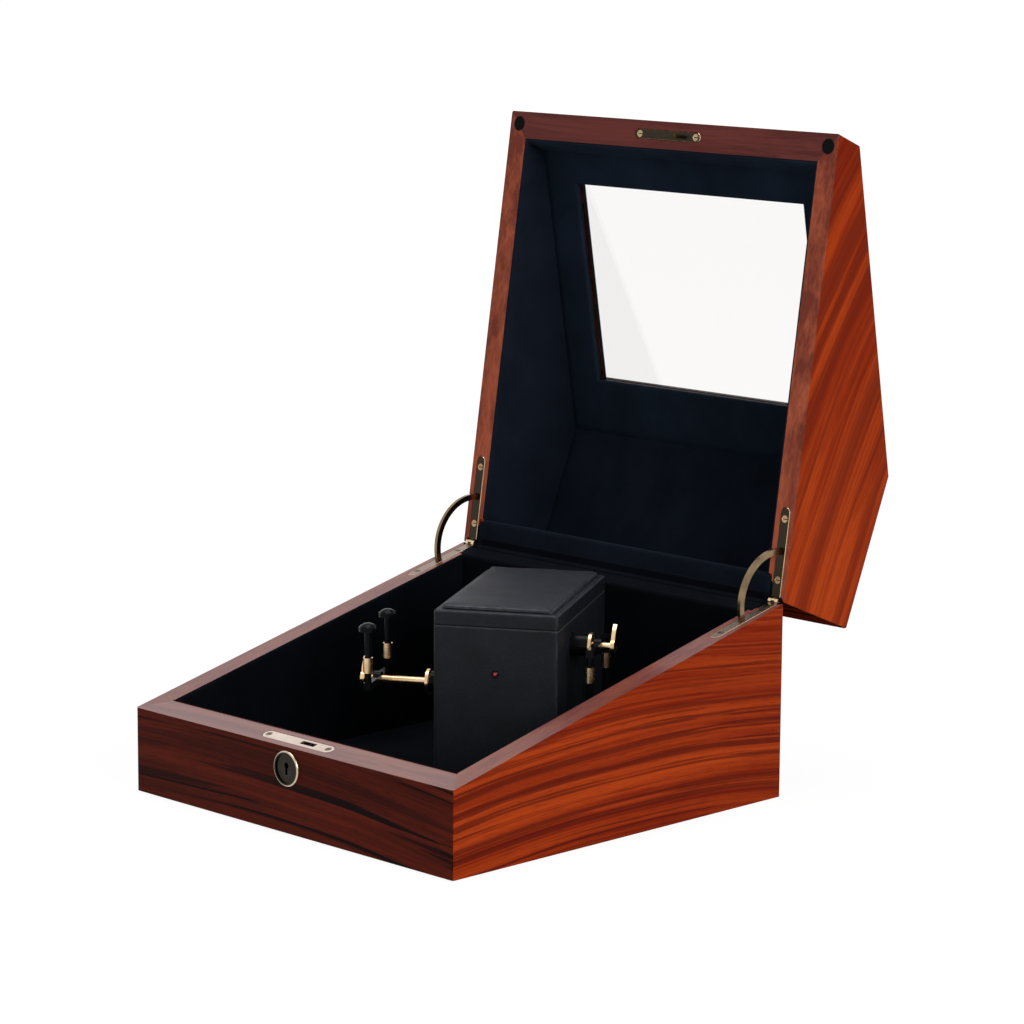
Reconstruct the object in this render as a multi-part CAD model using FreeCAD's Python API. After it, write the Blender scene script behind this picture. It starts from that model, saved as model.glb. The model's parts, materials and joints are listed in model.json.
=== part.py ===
import FreeCAD, Part
import math
import os

V = FreeCAD.Vector
ORIGIN = V(0, 0, 0)
AXIS_X = V(1, 0, 0)
AXIS_Y = V(0, 1, 0)
AXIS_Z = V(0, 0, 1)

# Driving dimensions, in millimetres and degrees.
# The wooden case: the front is at -Y, and the origin is the centre of its underside.
BOX_W = 300.0
BOX_D = 296.0
FRONT_H = 57.0
BACK_H = 130.0
LID_FRONT_H = 23.0
LID_BACK_H = 69.0
LID_TOP_D = 106.0
LID_OPEN = 112.4
SIDE_T = 16.0
FRONT_T = 18.0
BACK_T = 16.0
BOTTOM_T = 8.0
PANEL_T = 8.0
EDGE_R = 1.5
FELT_T = 1.0
FELT_INSET = 8.0
LINING_T = 2.0
FLAP_T = 1.5
FLAP_HINGE_GAP = 1.6
FLAP_LEAF_GAP = 1.0
RIM_GAP = 0.6

# The window in the lid's sloping panel. Its margins are measured along the slope.
WINDOW_W = 208.0
WINDOW_FRONT_MARGIN = 40.0
WINDOW_L = 142.0
WINDOW_LIP = 3.0
GLASS_T = 3.0
REBATE = 4.0

# The quadrant hinges, let into the middle of the side rims.
LEAF_W = 8.0
LEAF_L = 62.0
LEAF_T = 2.0
KNUCKLE_R = 2.4
KNUCKLE_W = 2.8
KNUCKLE_SIDE_GAP = 0.2
KNUCKLE_CLEAR = 0.6
HINGE_PIN_R = 1.0
PIN_RUNNING = 0.05
ARM_R = 33.0
ARM_DEPTH = 4.0
ARM_W = 2.4
ARM_HEAD_W = 5.0
ARM_HEAD_L = 1.8
ARM_STOP_GAP = 0.4
ARM_CLEAR = 0.4
ARM_MORTISE_CLEAR = 0.8
LEAF_SCREW_INSET = 8.0
LEAF_SCREW_BACK = 14.0
LEAF_SLOT_ANGLE = 10.0
PLATE_END_FLAT = 0.2
PLATE_BEVEL = 0.5

# Countersunk screws.
SCREW_HEAD_R = 2.4
SCREW_HEAD_T = 1.2
SCREW_SHANK_R = 1.2
SCREW_L = 10.0
SCREW_SLOT_W = 0.6
SCREW_SLOT_T = 0.4

# The lock in the front board.
LOCK_PLATE_L = 65.0
LOCK_PLATE_W = 9.0
LOCK_PLATE_T = 1.5
LOCK_SCREW_INSET = 4.5
LOCK_SLOT_X = 9.5
LOCK_SLOT_L = 13.0
LOCK_SLOT_W = 4.0
LOCK_CASE_W = 52.0
LOCK_CASE_D = 11.0
LOCK_CASE_WALL = 1.5
LOCK_CASE_DROP = 15.0
KEY_DROP = 14.0
KEY_PLUG_R = 5.5
KEY_TURN = 90.0
KEY_PIN_R = 1.1
KEYHOLE_R = 2.0
KEYHOLE_L = 6.0
KEYHOLE_DEPTH = 6.0
ESCUTCHEON_R = 11.5
ESCUTCHEON_T = 2.0
ESCUTCHEON_RIM = 2.0
ESCUTCHEON_DISH = 1.0
SLEEVE_R = 8.0
BOLT_TRAVEL = 6.0
BOLT_T = 2.4
BOLT_NOSE_H = 2.4
BOLT_NOTCH_CLEAR = 0.5
BOLT_CLEAR = 0.4
BOLT_WEB_W = 3.0
BOLT_NOTCH_ROOF = 1.0
HOOK_T = 2.4
HOOK_SHANK_W = 3.0
HOOK_TOE_L = 6.0
HOOK_TOE_H = 3.0
LINK_PLATE_L = 60.0
LINK_PLATE_W = 7.0
LINK_RIVET_R = 1.5
LINK_RIVET_H = 0.2
LINK_RIVETS_X = (-14.0, -3.0)
BUMPER_R = 5.0
BUMPER_T = 1.2
BUMPER_PROUD = 0.3
BUMPER_INSET = 8.5

# The leather-covered drive unit, which stands turned in the case.
DRIVE_TURN = 31.9
DRIVE_W = 82.0
DRIVE_D = 143.0
DRIVE_RIGHT_GAP = 43.4
DRIVE_BACK_GAP = 6.6
DRIVE_SHELL_H = 111.5
DRIVE_WALL = 6.0
DRIVE_CORNER_R = 3.0
COVER_H = 10.0
COVER_TOP_T = 3.0
COVER_EDGE_R = 2.0
COVER_GROOVE_R = 0.8
COVER_LIP_T = 3.0
COVER_LIP_H = 5.0
COVER_LIP_CLEAR = 0.3
PAD_INSET = 4.0
PAD_EDGE_H = 1.8
PAD_CROWN = 2.7
PAD_SHOULDER = 8.0
PAD_SHOULDER_SHARE = 0.75
PAD_END_SHARE = 0.3
LED_R = 1.6
LED_DROP = 30.0
LED_PROUD = 0.6
BOARD_W = 50.0
BOARD_H = 44.0
BOARD_T = 1.6
BOARD_STAND = 3.6
BOARD_POST_R = 2.0
BOARD_POST_INSET = 4.0

# The gear train and spindles inside the drive unit.
SPINDLE_BACK = 40.0
SPINDLE_DROP = 46.5
SPINDLE_R = 5.0
SPINDLE_RUNNING = 0.05
SPINDLE_TAIL = 1.0
GEAR_MODULE = 1.0
GEAR_TEETH = 30
PINION_TEETH = 18
GEAR_T = 6.0
GEAR_BACKLASH = 0.16
GEAR_CENTRE_EXTRA = 0.1
PRESSURE_ANGLE = 20.0
GEAR_ROOT_SHARE = 1.25
FLANK_STEPS = 4
FRAME_T = 2.0
FRAME_GAP = 5.0
FRAME_FRONT_MARGIN = 2.0
FRAME_BACK_MARGIN = 8.0
MOTOR_R = 12.0
MOTOR_L = 24.0
MOTOR_SHAFT_R = 1.5
MOTOR_SHAFT_DEPTH = 6.0
MOTOR_HOLE_R = 4.0
BUSH_R = 8.0
COLLAR_R = 7.0
COLLAR_GAP = 0.5
CELL_R = 13.1
CELL_L = 47.0
CELL_NUB_R = 4.0
CELL_NUB_L = 2.0
CELL_GAP = 0.6
TRAY_T = 1.6
TRAY_WALL_H = 12.0

# The watch holders on the spindles.
FLANGE_R = 8.5
FLANGE_T = 2.0
FLANGE_STAND = 14.0
BAR_R = 2.5
BAR_L = 66.0
BAR_RUNNING = 0.05
BAR_REACH = 12.0
LEFT_EXTENSION = 30.0
LEVER_HUB_R = 4.5
LEVER_HUB_T = 2.5
LEVER_W = 3.0
LEVER_R = 14.0
LEVER_SWEEP = 60.0
POST_INSET = 8.5
POST_SPREAD = 24.0
BRACKET_H = 5.0
BRACKET_HUB_R = 5.0
FERRULE_R = 3.2
FERRULE_START = 9.0
FERRULE_L = 10.0
STEM_R = 2.3
CAP_R = 6.0
CAP_EDGE_T = 2.5
CAP_TOP = 42.0
CAP_DOME = 3.0

# Places that follow from the driving dimensions.
HALF_W = BOX_W / 2
FRONT_Y = -BOX_D / 2
BACK_Y = BOX_D / 2
INNER_X = HALF_W - SIDE_T
INNER_FRONT = FRONT_Y + FRONT_T
INNER_BACK = BACK_Y - BACK_T
FLOOR_Z = FELT_T + BOTTOM_T
LINED_FLOOR_Z = FLOOR_Z + LINING_T
LINED_X = INNER_X - LINING_T
RIM_ANGLE = math.degrees(math.atan2(BACK_H - FRONT_H, BOX_D))
RIM_COS = math.cos(math.radians(RIM_ANGLE))
RIM_TAN = math.tan(math.radians(RIM_ANGLE))
RIM_L = BOX_D / RIM_COS
HALF_GAP = RIM_GAP / 2
HINGE = V(0, BACK_Y, BACK_H)
LID_TOP_Z = BACK_H + LID_BACK_H
LID_LIP_Z = FRONT_H + LID_FRONT_H
RIDGE_Y = BACK_Y - LID_TOP_D
SLOPE = math.degrees(math.atan2(LID_TOP_Z - LID_LIP_Z, RIDGE_Y - FRONT_Y))
SLOPE_TAN = math.tan(math.radians(SLOPE))
LEAF_X = HALF_W - SIDE_T / 2
LOCK_Y = (FRONT_Y + INNER_FRONT) / 2
LOCK_RIM = (LOCK_Y - BACK_Y) / RIM_COS
FAR = 2 * BOX_W
NEAR = 0.01

TURN_COS = math.cos(math.radians(DRIVE_TURN))
TURN_SIN = math.sin(math.radians(DRIVE_TURN))
DRIVE_X = LINED_X - DRIVE_RIGHT_GAP - (DRIVE_W * TURN_COS + DRIVE_D * TURN_SIN) / 2
DRIVE_Y = INNER_BACK - LINING_T - DRIVE_BACK_GAP - (DRIVE_W * TURN_SIN + DRIVE_D * TURN_COS) / 2
DRIVE_HALF_W = DRIVE_W / 2
DRIVE_FRONT = -DRIVE_D / 2
SHELL_Z = LINED_FLOOR_Z + DRIVE_SHELL_H
SHELL_FLOOR_Z = LINED_FLOOR_Z + DRIVE_WALL
SPINDLE_Y = DRIVE_FRONT + SPINDLE_BACK
GEAR_CENTRES = GEAR_MODULE * GEAR_TEETH + GEAR_CENTRE_EXTRA
PINION_CENTRES = GEAR_MODULE * (GEAR_TEETH + PINION_TEETH) / 2 + GEAR_CENTRE_EXTRA
LEFT_Z = SHELL_Z - SPINDLE_DROP
RIGHT_Z = LEFT_Z + GEAR_CENTRES
PINION_Y = SPINDLE_Y + PINION_CENTRES
FLANGE_X = DRIVE_HALF_W + FLANGE_STAND
COLLAR_L = FLANGE_STAND - FLANGE_T - COLLAR_GAP
FRAME_X = GEAR_T / 2 + FRAME_GAP

parts = {}


# Shapes

def box(x0, x1, y0, y1, z0, z1):
    return Part.makeBox(x1 - x0, y1 - y0, z1 - z0, V(x0, y0, z0))


def rod(radius, length, start, along):
    return Part.makeCylinder(radius, length, start, along)


def prism_x(outline, x0, x1):
    """An outline of (y, z) points carried from x0 to x1."""
    points = [V(x0, y, z) for y, z in outline]
    face = Part.Face(Part.makePolygon(points + points[:1]))
    return face.extrude(V(x1 - x0, 0, 0))


def prism_z(outline, z0, z1):
    """An outline of (x, y) points carried from z0 to z1."""
    points = [V(x, y, z0) for x, y in outline]
    face = Part.Face(Part.makePolygon(points + points[:1]))
    return face.extrude(V(0, 0, z1 - z0))


def sector_x(inner_r, outer_r, x0, x1, start, end):
    """Part of a flat ring about the X axis, between two angles measured from +Y to +Z."""
    def at(radius, angle):
        turn = math.radians(angle)
        return V(x0, radius * math.cos(turn), radius * math.sin(turn))
    middle = (start + end) / 2
    edges = [
        Part.Arc(at(outer_r, start), at(outer_r, middle), at(outer_r, end)).toShape(),
        Part.makeLine(at(outer_r, end), at(inner_r, end)),
        Part.Arc(at(inner_r, end), at(inner_r, middle), at(inner_r, start)).toShape(),
        Part.makeLine(at(inner_r, start), at(outer_r, start)),
    ]
    return Part.Face(Part.Wire(edges)).extrude(V(x1 - x0, 0, 0))


def fuse(first, *others):
    return first.multiFuse(list(others)).removeSplitter()


def cut(shape, *tools):
    for tool in tools:
        shape = shape.cut(tool)
    return shape


def upright_edges(shape):
    """The straight edges that run along Z."""
    return [e for e in shape.Edges if len(e.Vertexes) == 2 and
            abs(e.Vertexes[0].X - e.Vertexes[1].X) + abs(e.Vertexes[0].Y - e.Vertexes[1].Y) < NEAR]


def face_edges(shape, z):
    """The edges that lie in the level plane at z."""
    return [e for e in shape.Edges if abs(e.BoundBox.ZMin - z) < NEAR and abs(e.BoundBox.ZMax - z) < NEAR]


def rounded_box(x0, x1, y0, y1, z0, z1, radius):
    block = box(x0, x1, y0, y1, z0, z1)
    return block.makeFillet(radius, upright_edges(block))


def inset(outline, distances):
    """Each side of an outline moved inwards by its own distance; side i runs from point i to the next."""
    count = len(outline)
    area = sum(outline[i][0] * outline[(i + 1) % count][1] - outline[(i + 1) % count][0] * outline[i][1]
               for i in range(count))
    inward = 1 if area > 0 else -1
    lines = []
    for i in range(count):
        (y0, z0), (y1, z1) = outline[i], outline[(i + 1) % count]
        length = math.hypot(y1 - y0, z1 - z0)
        normal = (-(z1 - z0) / length * inward, (y1 - y0) / length * inward)
        lines.append((normal, normal[0] * y0 + normal[1] * z0 + distances[i]))
    corners = []
    for i in range(count):
        (a, b), c = lines[i - 1]
        (d, e), f = lines[i]
        det = a * e - b * d
        corners.append(((c * e - b * f) / det, (a * f - c * d) / det))
    return corners


# Frames: the rim plane about the hinge line, the lid's slope, the open lid and the drive unit

def rim_z(y, above=0.0):
    """Height of the plane through the hinge line where the closed rims meet."""
    return BACK_H + (y - BACK_Y) * RIM_TAN + above / RIM_COS


def on_rim(shape):
    """From rim coordinates, with y back along the rim from the hinge line and z square to the rim."""
    return shape.rotated(ORIGIN, AXIS_X, RIM_ANGLE).translated(HINGE)


def on_slope(shape):
    """From slope coordinates, with y up the slope from the lid's front edge and z outwards."""
    return shape.rotated(ORIGIN, AXIS_X, SLOPE).translated(V(0, FRONT_Y, LID_LIP_Z))


def opened(shape):
    """From the closed lid to the open one."""
    return shape.rotated(HINGE, AXIS_X, -LID_OPEN)


def in_drive(shape):
    """From the drive unit's own axes, with its front at -Y, to where it stands in the case."""
    return shape.rotated(ORIGIN, AXIS_Z, DRIVE_TURN).translated(V(DRIVE_X, DRIVE_Y, 0))


def screw(x, y, outwards):
    """A countersunk screw in rim coordinates, its head flush with a rim that faces up (1) or down (-1)."""
    face = -HALF_GAP * outwards
    inwards = V(0, 0, -outwards)
    head = Part.makeCone(SCREW_HEAD_R, SCREW_SHANK_R, SCREW_HEAD_T, V(x, y, face), inwards)
    shank = rod(SCREW_SHANK_R, SCREW_L - SCREW_HEAD_T, V(x, y, face - SCREW_HEAD_T * outwards), inwards)
    solid = fuse(head, shank)
    slot_far = face - SCREW_SLOT_T * outwards
    slot = box(x - SCREW_HEAD_R, x + SCREW_HEAD_R, y - SCREW_SLOT_W / 2, y + SCREW_SLOT_W / 2,
               min(face, slot_far), max(face, slot_far))
    return solid, solid.cut(slot)


# The quadrant hinges, in rim coordinates

def leaf_plate(x, side):
    """A leaf lying in the rim of the base (side -1) or of the closed lid (side 1), with its knuckles."""
    low, high = sorted((side * HALF_GAP, side * (HALF_GAP + LEAF_T)))
    clear = KNUCKLE_R + KNUCKLE_CLEAR
    plate = box(x - LEAF_W / 2, x + LEAF_W / 2, -LEAF_L, -clear, low, high)
    front_edges = [e for e in upright_edges(plate) if e.Vertexes[0].Y < -LEAF_L / 2]
    plate = plate.makeFillet((LEAF_W - PLATE_END_FLAT) / 2, front_edges)
    shown = [e for e in face_edges(plate, side * HALF_GAP) if e.BoundBox.YMin < -clear - NEAR]
    half_lid = KNUCKLE_W / 2
    half_gap = half_lid + KNUCKLE_SIDE_GAP
    if side > 0:
        spans = [(x - half_lid, x + half_lid)]
    else:
        spans = [(x - LEAF_W / 2, x - half_gap), (x + half_gap, x + LEAF_W / 2)]
    knuckles = [rod(KNUCKLE_R, x1 - x0, V(x0, 0, 0), AXIS_X) for x0, x1 in spans]
    necks = [box(x0, x1, -clear, 0, low, high) for x0, x1 in spans]
    seat = fuse(plate, *necks)
    leaf = fuse(plate.makeChamfer(PLATE_BEVEL, shown), *necks, *knuckles)
    bore = HINGE_PIN_R + (PIN_RUNNING if side > 0 else 0)
    leaf = leaf.cut(rod(bore, LEAF_W, V(x - LEAF_W / 2, 0, 0), AXIS_X))
    slot = sector_x(ARM_R - ARM_DEPTH / 2 - ARM_CLEAR, ARM_R + ARM_DEPTH / 2 + ARM_CLEAR,
                    x - ARM_W / 2 - ARM_CLEAR, x + ARM_W / 2 + ARM_CLEAR,
                    180 - LEAF_SLOT_ANGLE, 180 + LEAF_SLOT_ANGLE)
    return seat, leaf.cut(slot)


LEAF_DEPTH_ANGLE = math.degrees((HALF_GAP + LEAF_T + ARM_STOP_GAP) / (ARM_R - ARM_DEPTH / 2))
ARM_HEAD_ANGLE = math.degrees(ARM_HEAD_L / ARM_R)
ARM_END_ANGLE = LEAF_DEPTH_ANGLE + ARM_HEAD_ANGLE
ARM_FREE_ANGLE = math.degrees(2 * ARM_MORTISE_CLEAR / ARM_R)


def stay_arm(x):
    """The curved arm at rest with the lid open: both heads lie just behind the two leaves."""
    inner_r = ARM_R - ARM_DEPTH / 2
    outer_r = ARM_R + ARM_DEPTH / 2
    lid_end = 180 - LID_OPEN - ARM_END_ANGLE
    base_end = 180 + ARM_END_ANGLE
    arm = sector_x(inner_r, outer_r, x - ARM_W / 2, x + ARM_W / 2, lid_end, base_end)
    lid_head = sector_x(inner_r, outer_r, x - ARM_HEAD_W / 2, x + ARM_HEAD_W / 2,
                        lid_end, lid_end + ARM_HEAD_ANGLE)
    base_head = sector_x(inner_r, outer_r, x - ARM_HEAD_W / 2, x + ARM_HEAD_W / 2,
                         base_end - ARM_HEAD_ANGLE, base_end)
    return fuse(arm, lid_head, base_head)


def arm_mortise(x, side):
    """The curved slot that takes half of the arm in the base (side -1) or in the closed lid (side 1)."""
    depth = LID_OPEN / 2 + ARM_END_ANGLE + ARM_FREE_ANGLE
    start, end = sorted((180, 180 - side * depth))
    half = ARM_HEAD_W / 2 + ARM_MORTISE_CLEAR
    return sector_x(ARM_R - ARM_DEPTH / 2 - ARM_MORTISE_CLEAR, ARM_R + ARM_DEPTH / 2 + ARM_MORTISE_CLEAR,
                    x - half, x + half, start, end)


def hinge_cuts(x, side):
    """What the wood loses for one hinge: the leaf's seat, the knuckle's room and the arm's mortise."""
    seat = leaf_plate(x, side)[0]
    half = LEAF_W / 2 + KNUCKLE_SIDE_GAP
    room = rod(KNUCKLE_R + KNUCKLE_CLEAR, 2 * half, V(x - half, 0, 0), AXIS_X)
    return [seat, room, arm_mortise(x, side)]


LEAF_SCREWS_Y = (-LEAF_SCREW_BACK, -LEAF_L + LEAF_SCREW_INSET)


# The lock and the lid's link plate, in rim coordinates where they lie on the rims

def plate_on_rim(length, width, side):
    """The seat and bevelled plate in the front rim of the base (side -1) or of the closed lid (side 1)."""
    low, high = sorted((side * HALF_GAP, side * (HALF_GAP + LOCK_PLATE_T)))
    seat = rounded_box(-length / 2, length / 2, LOCK_RIM - width / 2, LOCK_RIM + width / 2,
                       low, high, (width - PLATE_END_FLAT) / 2)
    return seat, seat.makeChamfer(PLATE_BEVEL, face_edges(seat, side * HALF_GAP))


HOOK_X0 = LOCK_SLOT_X - LOCK_SLOT_L / 2 + BOLT_CLEAR
TOE_X0 = HOOK_X0 + HOOK_SHANK_W
TOE_X1 = TOE_X0 + HOOK_TOE_L
PLATE_UNDER = -(HALF_GAP + LOCK_PLATE_T)
NOSE_TOP = PLATE_UNDER - BOLT_CLEAR
NOSE_UNDER = NOSE_TOP - BOLT_NOSE_H
TOE_TOP = NOSE_UNDER - BOLT_CLEAR
TOE_UNDER = TOE_TOP - HOOK_TOE_H
NOSE_X0 = TOE_X0 + BOLT_TRAVEL + BOLT_CLEAR
WEB_X0 = TOE_X1 + BOLT_TRAVEL + BOLT_CLEAR
KEY_Z = FRONT_H - KEY_DROP
KEY_CRANK = BOLT_TRAVEL / 2 / math.sin(math.radians(KEY_TURN / 2))
KEY_PIN_TOP = KEY_Z + KEY_CRANK + KEY_PIN_R
CASE_FRONT = LOCK_Y - LOCK_CASE_D / 2
CASE_BACK = LOCK_Y + LOCK_CASE_D / 2
CASE_FLOOR = KEY_Z - LOCK_CASE_DROP
BOLT_BACK = CASE_BACK - LOCK_CASE_WALL - BOLT_CLEAR
BOLT_FRONT = BOLT_BACK - BOLT_T
TAIL_TOP = KEY_PIN_TOP + BOLT_NOTCH_CLEAR + BOLT_NOTCH_ROOF
TAIL_UNDER = KEY_Z + KEY_CRANK * math.cos(math.radians(KEY_TURN / 2)) - KEY_PIN_R


def below_plate():
    """Everything under the lock plate's lower face."""
    return on_rim(box(-HALF_W, HALF_W, -FAR, FAR, -FAR, PLATE_UNDER))


def lock_case_shape():
    """The lock's plate on the rim, with the hollow case that hangs from it in the front board."""
    half = LOCK_CASE_W / 2
    wall = LOCK_CASE_WALL
    outer = box(-half, half, CASE_FRONT, CASE_BACK, CASE_FLOOR, LID_TOP_Z).common(below_plate())
    inner = box(-half + wall, half - wall, CASE_FRONT + wall, CASE_BACK - wall, CASE_FLOOR + wall, LID_TOP_Z)
    hole = rod(KEY_PLUG_R + BOLT_CLEAR, 2 * wall, V(0, CASE_FRONT - wall / 2, KEY_Z), AXIS_Y)
    seat, plate = plate_on_rim(LOCK_PLATE_L, LOCK_PLATE_W, -1)
    slot = box(LOCK_SLOT_X - LOCK_SLOT_L / 2, LOCK_SLOT_X + LOCK_SLOT_L / 2,
               LOCK_RIM - LOCK_SLOT_W / 2, LOCK_RIM + LOCK_SLOT_W / 2, -LOCK_PLATE_W, LOCK_PLATE_W)
    hollow = inner.common(below_plate())
    return outer, on_rim(seat), cut(fuse(outer, on_rim(plate)), hollow, hole, on_rim(slot))


def lock_bolt_shape():
    """A sliding plate with a nose that passes over the hook's toe and a notch for the key plug's pin."""
    nose = on_rim(box(NOSE_X0, WEB_X0 + BOLT_WEB_W, LOCK_RIM - BOLT_T / 2, LOCK_RIM + BOLT_T / 2,
                      NOSE_UNDER, NOSE_TOP))
    nose_box = nose.BoundBox
    web = box(WEB_X0, WEB_X0 + BOLT_WEB_W, min(nose_box.YMin, BOLT_FRONT), BOLT_BACK,
              TAIL_UNDER, nose_box.ZMin + BOLT_NOSE_H)
    rest_x = KEY_CRANK * math.sin(math.radians(KEY_TURN / 2))
    notch_half = KEY_PIN_R + BOLT_NOTCH_CLEAR
    tail = box(rest_x - notch_half - BOLT_T, WEB_X0 + BOLT_WEB_W, BOLT_FRONT, BOLT_BACK, TAIL_UNDER, TAIL_TOP)
    notch = box(rest_x - notch_half, rest_x + notch_half, BOLT_FRONT - 1, BOLT_BACK + 1,
                TAIL_UNDER - 1, KEY_PIN_TOP + BOLT_NOTCH_CLEAR)
    return fuse(nose, web, tail).cut(notch)


def key_plug_shape():
    """The turning plug behind the escutcheon, with its keyhole and the pin that moves the bolt."""
    face = FRONT_Y - ESCUTCHEON_T + ESCUTCHEON_DISH
    back = BOLT_FRONT - BOLT_CLEAR
    plug = rod(KEY_PLUG_R, back - face, V(0, face, KEY_Z), AXIS_Y)
    turn = math.radians(KEY_TURN / 2)
    pin = rod(KEY_PIN_R, BOLT_BACK - back + 1, V(KEY_CRANK * math.sin(turn), back - 1,
                                                 KEY_Z + KEY_CRANK * math.cos(turn)), AXIS_Y)
    keyhole = fuse(rod(KEYHOLE_R, KEYHOLE_DEPTH, V(0, face, KEY_Z + KEYHOLE_R), AXIS_Y),
                   box(-KEYHOLE_R / 2, KEYHOLE_R / 2, face, face + KEYHOLE_DEPTH,
                       KEY_Z + KEYHOLE_R - KEYHOLE_L, KEY_Z + KEYHOLE_R))
    return fuse(plug, pin).cut(keyhole)


def escutcheon_shape():
    """A dished brass ring on the front face, with the sleeve in which the plug turns."""
    face = FRONT_Y - ESCUTCHEON_T
    ring = rod(ESCUTCHEON_R, ESCUTCHEON_T, V(0, face, KEY_Z), AXIS_Y)
    ring = ring.makeFillet(ESCUTCHEON_T / 2, [e for e in ring.Edges if e.BoundBox.YMax < face + NEAR])
    dish = rod(ESCUTCHEON_R - ESCUTCHEON_RIM, ESCUTCHEON_DISH, V(0, face, KEY_Z), AXIS_Y)
    sleeve = rod(SLEEVE_R, CASE_FRONT - FRONT_Y, V(0, FRONT_Y, KEY_Z), AXIS_Y)
    bore = rod(KEY_PLUG_R + PIN_RUNNING, FRONT_T, V(0, face, KEY_Z), AXIS_Y)
    return sleeve, cut(fuse(ring, sleeve), dish, bore)


def link_plate_shape():
    """The lid's plate, in rim coordinates, with the hook that drops into the lock."""
    seat, plate = plate_on_rim(LINK_PLATE_L, LINK_PLATE_W, 1)
    y0 = LOCK_RIM - HOOK_T / 2
    y1 = LOCK_RIM + HOOK_T / 2
    shank = box(HOOK_X0, TOE_X0, y0, y1, TOE_UNDER, HALF_GAP + LOCK_PLATE_T)
    toe = box(HOOK_X0, TOE_X1, y0, y1, TOE_UNDER, TOE_TOP)
    return seat, fuse(plate, shank, toe)


# The wooden base

def plan_of_boards():
    """The four mitred boards seen from above: each runs from outer corner to inner corner."""
    outer = {"fl": (-HALF_W, FRONT_Y), "fr": (HALF_W, FRONT_Y),
             "br": (HALF_W, BACK_Y), "bl": (-HALF_W, BACK_Y)}
    inner = {"fl": (-INNER_X, INNER_FRONT), "fr": (INNER_X, INNER_FRONT),
             "br": (INNER_X, INNER_BACK), "bl": (-INNER_X, INNER_BACK)}
    ends = {"front": ("fl", "fr"), "right": ("fr", "br"), "back": ("br", "bl"), "left": ("bl", "fl")}
    return {name: prism_z([outer[a], outer[b], inner[b], inner[a]], -FAR, FAR)
            for name, (a, b) in ends.items()}


def flap(side):
    """The lining's edge that lies over the back rim of the base (side -1) or of the closed lid (side 1)."""
    low, high = sorted((side * HALF_GAP, side * (HALF_GAP + FLAP_T)))
    half = LEAF_X - LEAF_W / 2 - FLAP_LEAF_GAP
    return on_rim(box(-half, half, -BACK_T / RIM_COS - LINING_T / 2, -FLAP_HINGE_GAP, low, high))


def make_base():
    outline = [(FRONT_Y, FELT_T), (BACK_Y, FELT_T), (BACK_Y, rim_z(BACK_Y, -HALF_GAP)),
               (FRONT_Y, rim_z(FRONT_Y, -HALF_GAP))]
    block = prism_x(outline, -HALF_W, HALF_W)
    block = block.makeFillet(EDGE_R, upright_edges(block))
    boards = {name: block.common(region) for name, region in plan_of_boards().items()}
    case, plate, lock = lock_case_shape()
    sleeve, escutcheon = escutcheon_shape()
    screws = []
    leaves = {}
    for name, x in (("left", -LEAF_X), ("right", LEAF_X)):
        tools = [on_rim(shape) for shape in hinge_cuts(x, -1)]
        leaf = leaf_plate(x, -1)[1]
        for y in LEAF_SCREWS_Y:
            whole, slotted = screw(x, y, 1)
            leaf = leaf.cut(whole)
            tools.append(on_rim(whole))
            screws.append(on_rim(slotted))
        leaves[name] = on_rim(leaf)
        for board in (name, "back"):
            boards[board] = cut(boards[board], *tools)
    for x in (-LOCK_PLATE_L / 2 + LOCK_SCREW_INSET, LOCK_PLATE_L / 2 - LOCK_SCREW_INSET):
        whole, slotted = screw(x, LOCK_RIM, 1)
        lock = lock.cut(on_rim(whole))
        boards["front"] = boards["front"].cut(on_rim(whole))
        screws.append(on_rim(slotted))
    boards["front"] = cut(boards["front"], case, plate, sleeve)
    back_flap = flap(-1)
    for board in ("left", "back", "right"):
        boards[board] = boards[board].cut(back_flap)
    for name, shape in boards.items():
        parts["base_" + name + "_board"] = shape
    for name, shape in leaves.items():
        parts["base_leaf_" + name] = shape
    parts["base_bottom_panel"] = box(-INNER_X, INNER_X, INNER_FRONT, INNER_BACK, FELT_T, FLOOR_Z)
    parts["base_felt"] = box(-HALF_W + FELT_INSET, HALF_W - FELT_INSET, FRONT_Y + FELT_INSET,
                             BACK_Y - FELT_INSET, 0, FELT_T)
    parts["base_screws"] = Part.makeCompound(screws)
    parts["hinge_pins"] = Part.makeCompound(
        [on_rim(rod(HINGE_PIN_R, LEAF_W, V(x - LEAF_W / 2, 0, 0), AXIS_X)) for x in (-LEAF_X, LEAF_X)])
    for name, x in (("left", -LEAF_X), ("right", LEAF_X)):
        parts["stay_arm_" + name] = on_rim(stay_arm(x))
    parts["lock_case"] = lock
    parts["lock_escutcheon"] = escutcheon
    parts["key_plug"] = key_plug_shape()
    parts["lock_bolt"] = lock_bolt_shape()
    make_base_lining(back_flap)


def make_base_lining(back_flap):
    """Velvet-covered sheets on the floor and walls; the back one turns over the rim."""
    front = INNER_FRONT + LINING_T
    back = INNER_BACK - LINING_T

    def wall(y0, y1, x0, x1):
        outline = [(y0, LINED_FLOOR_Z), (y1, LINED_FLOOR_Z),
                   (y1, rim_z(y1, -HALF_GAP)), (y0, rim_z(y0, -HALF_GAP))]
        return prism_x(outline, x0, x1)
    parts["base_lining_floor"] = box(-INNER_X, INNER_X, INNER_FRONT, INNER_BACK, FLOOR_Z, LINED_FLOOR_Z)
    parts["base_lining_front"] = wall(INNER_FRONT, front, -INNER_X, INNER_X)
    parts["base_lining_back"] = fuse(wall(back, INNER_BACK, -INNER_X, INNER_X), back_flap)
    parts["base_lining_sides"] = Part.makeCompound(
        [wall(front, back, -INNER_X, -LINED_X), wall(front, back, LINED_X, INNER_X)])


# The lid, made closed and then opened

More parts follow.
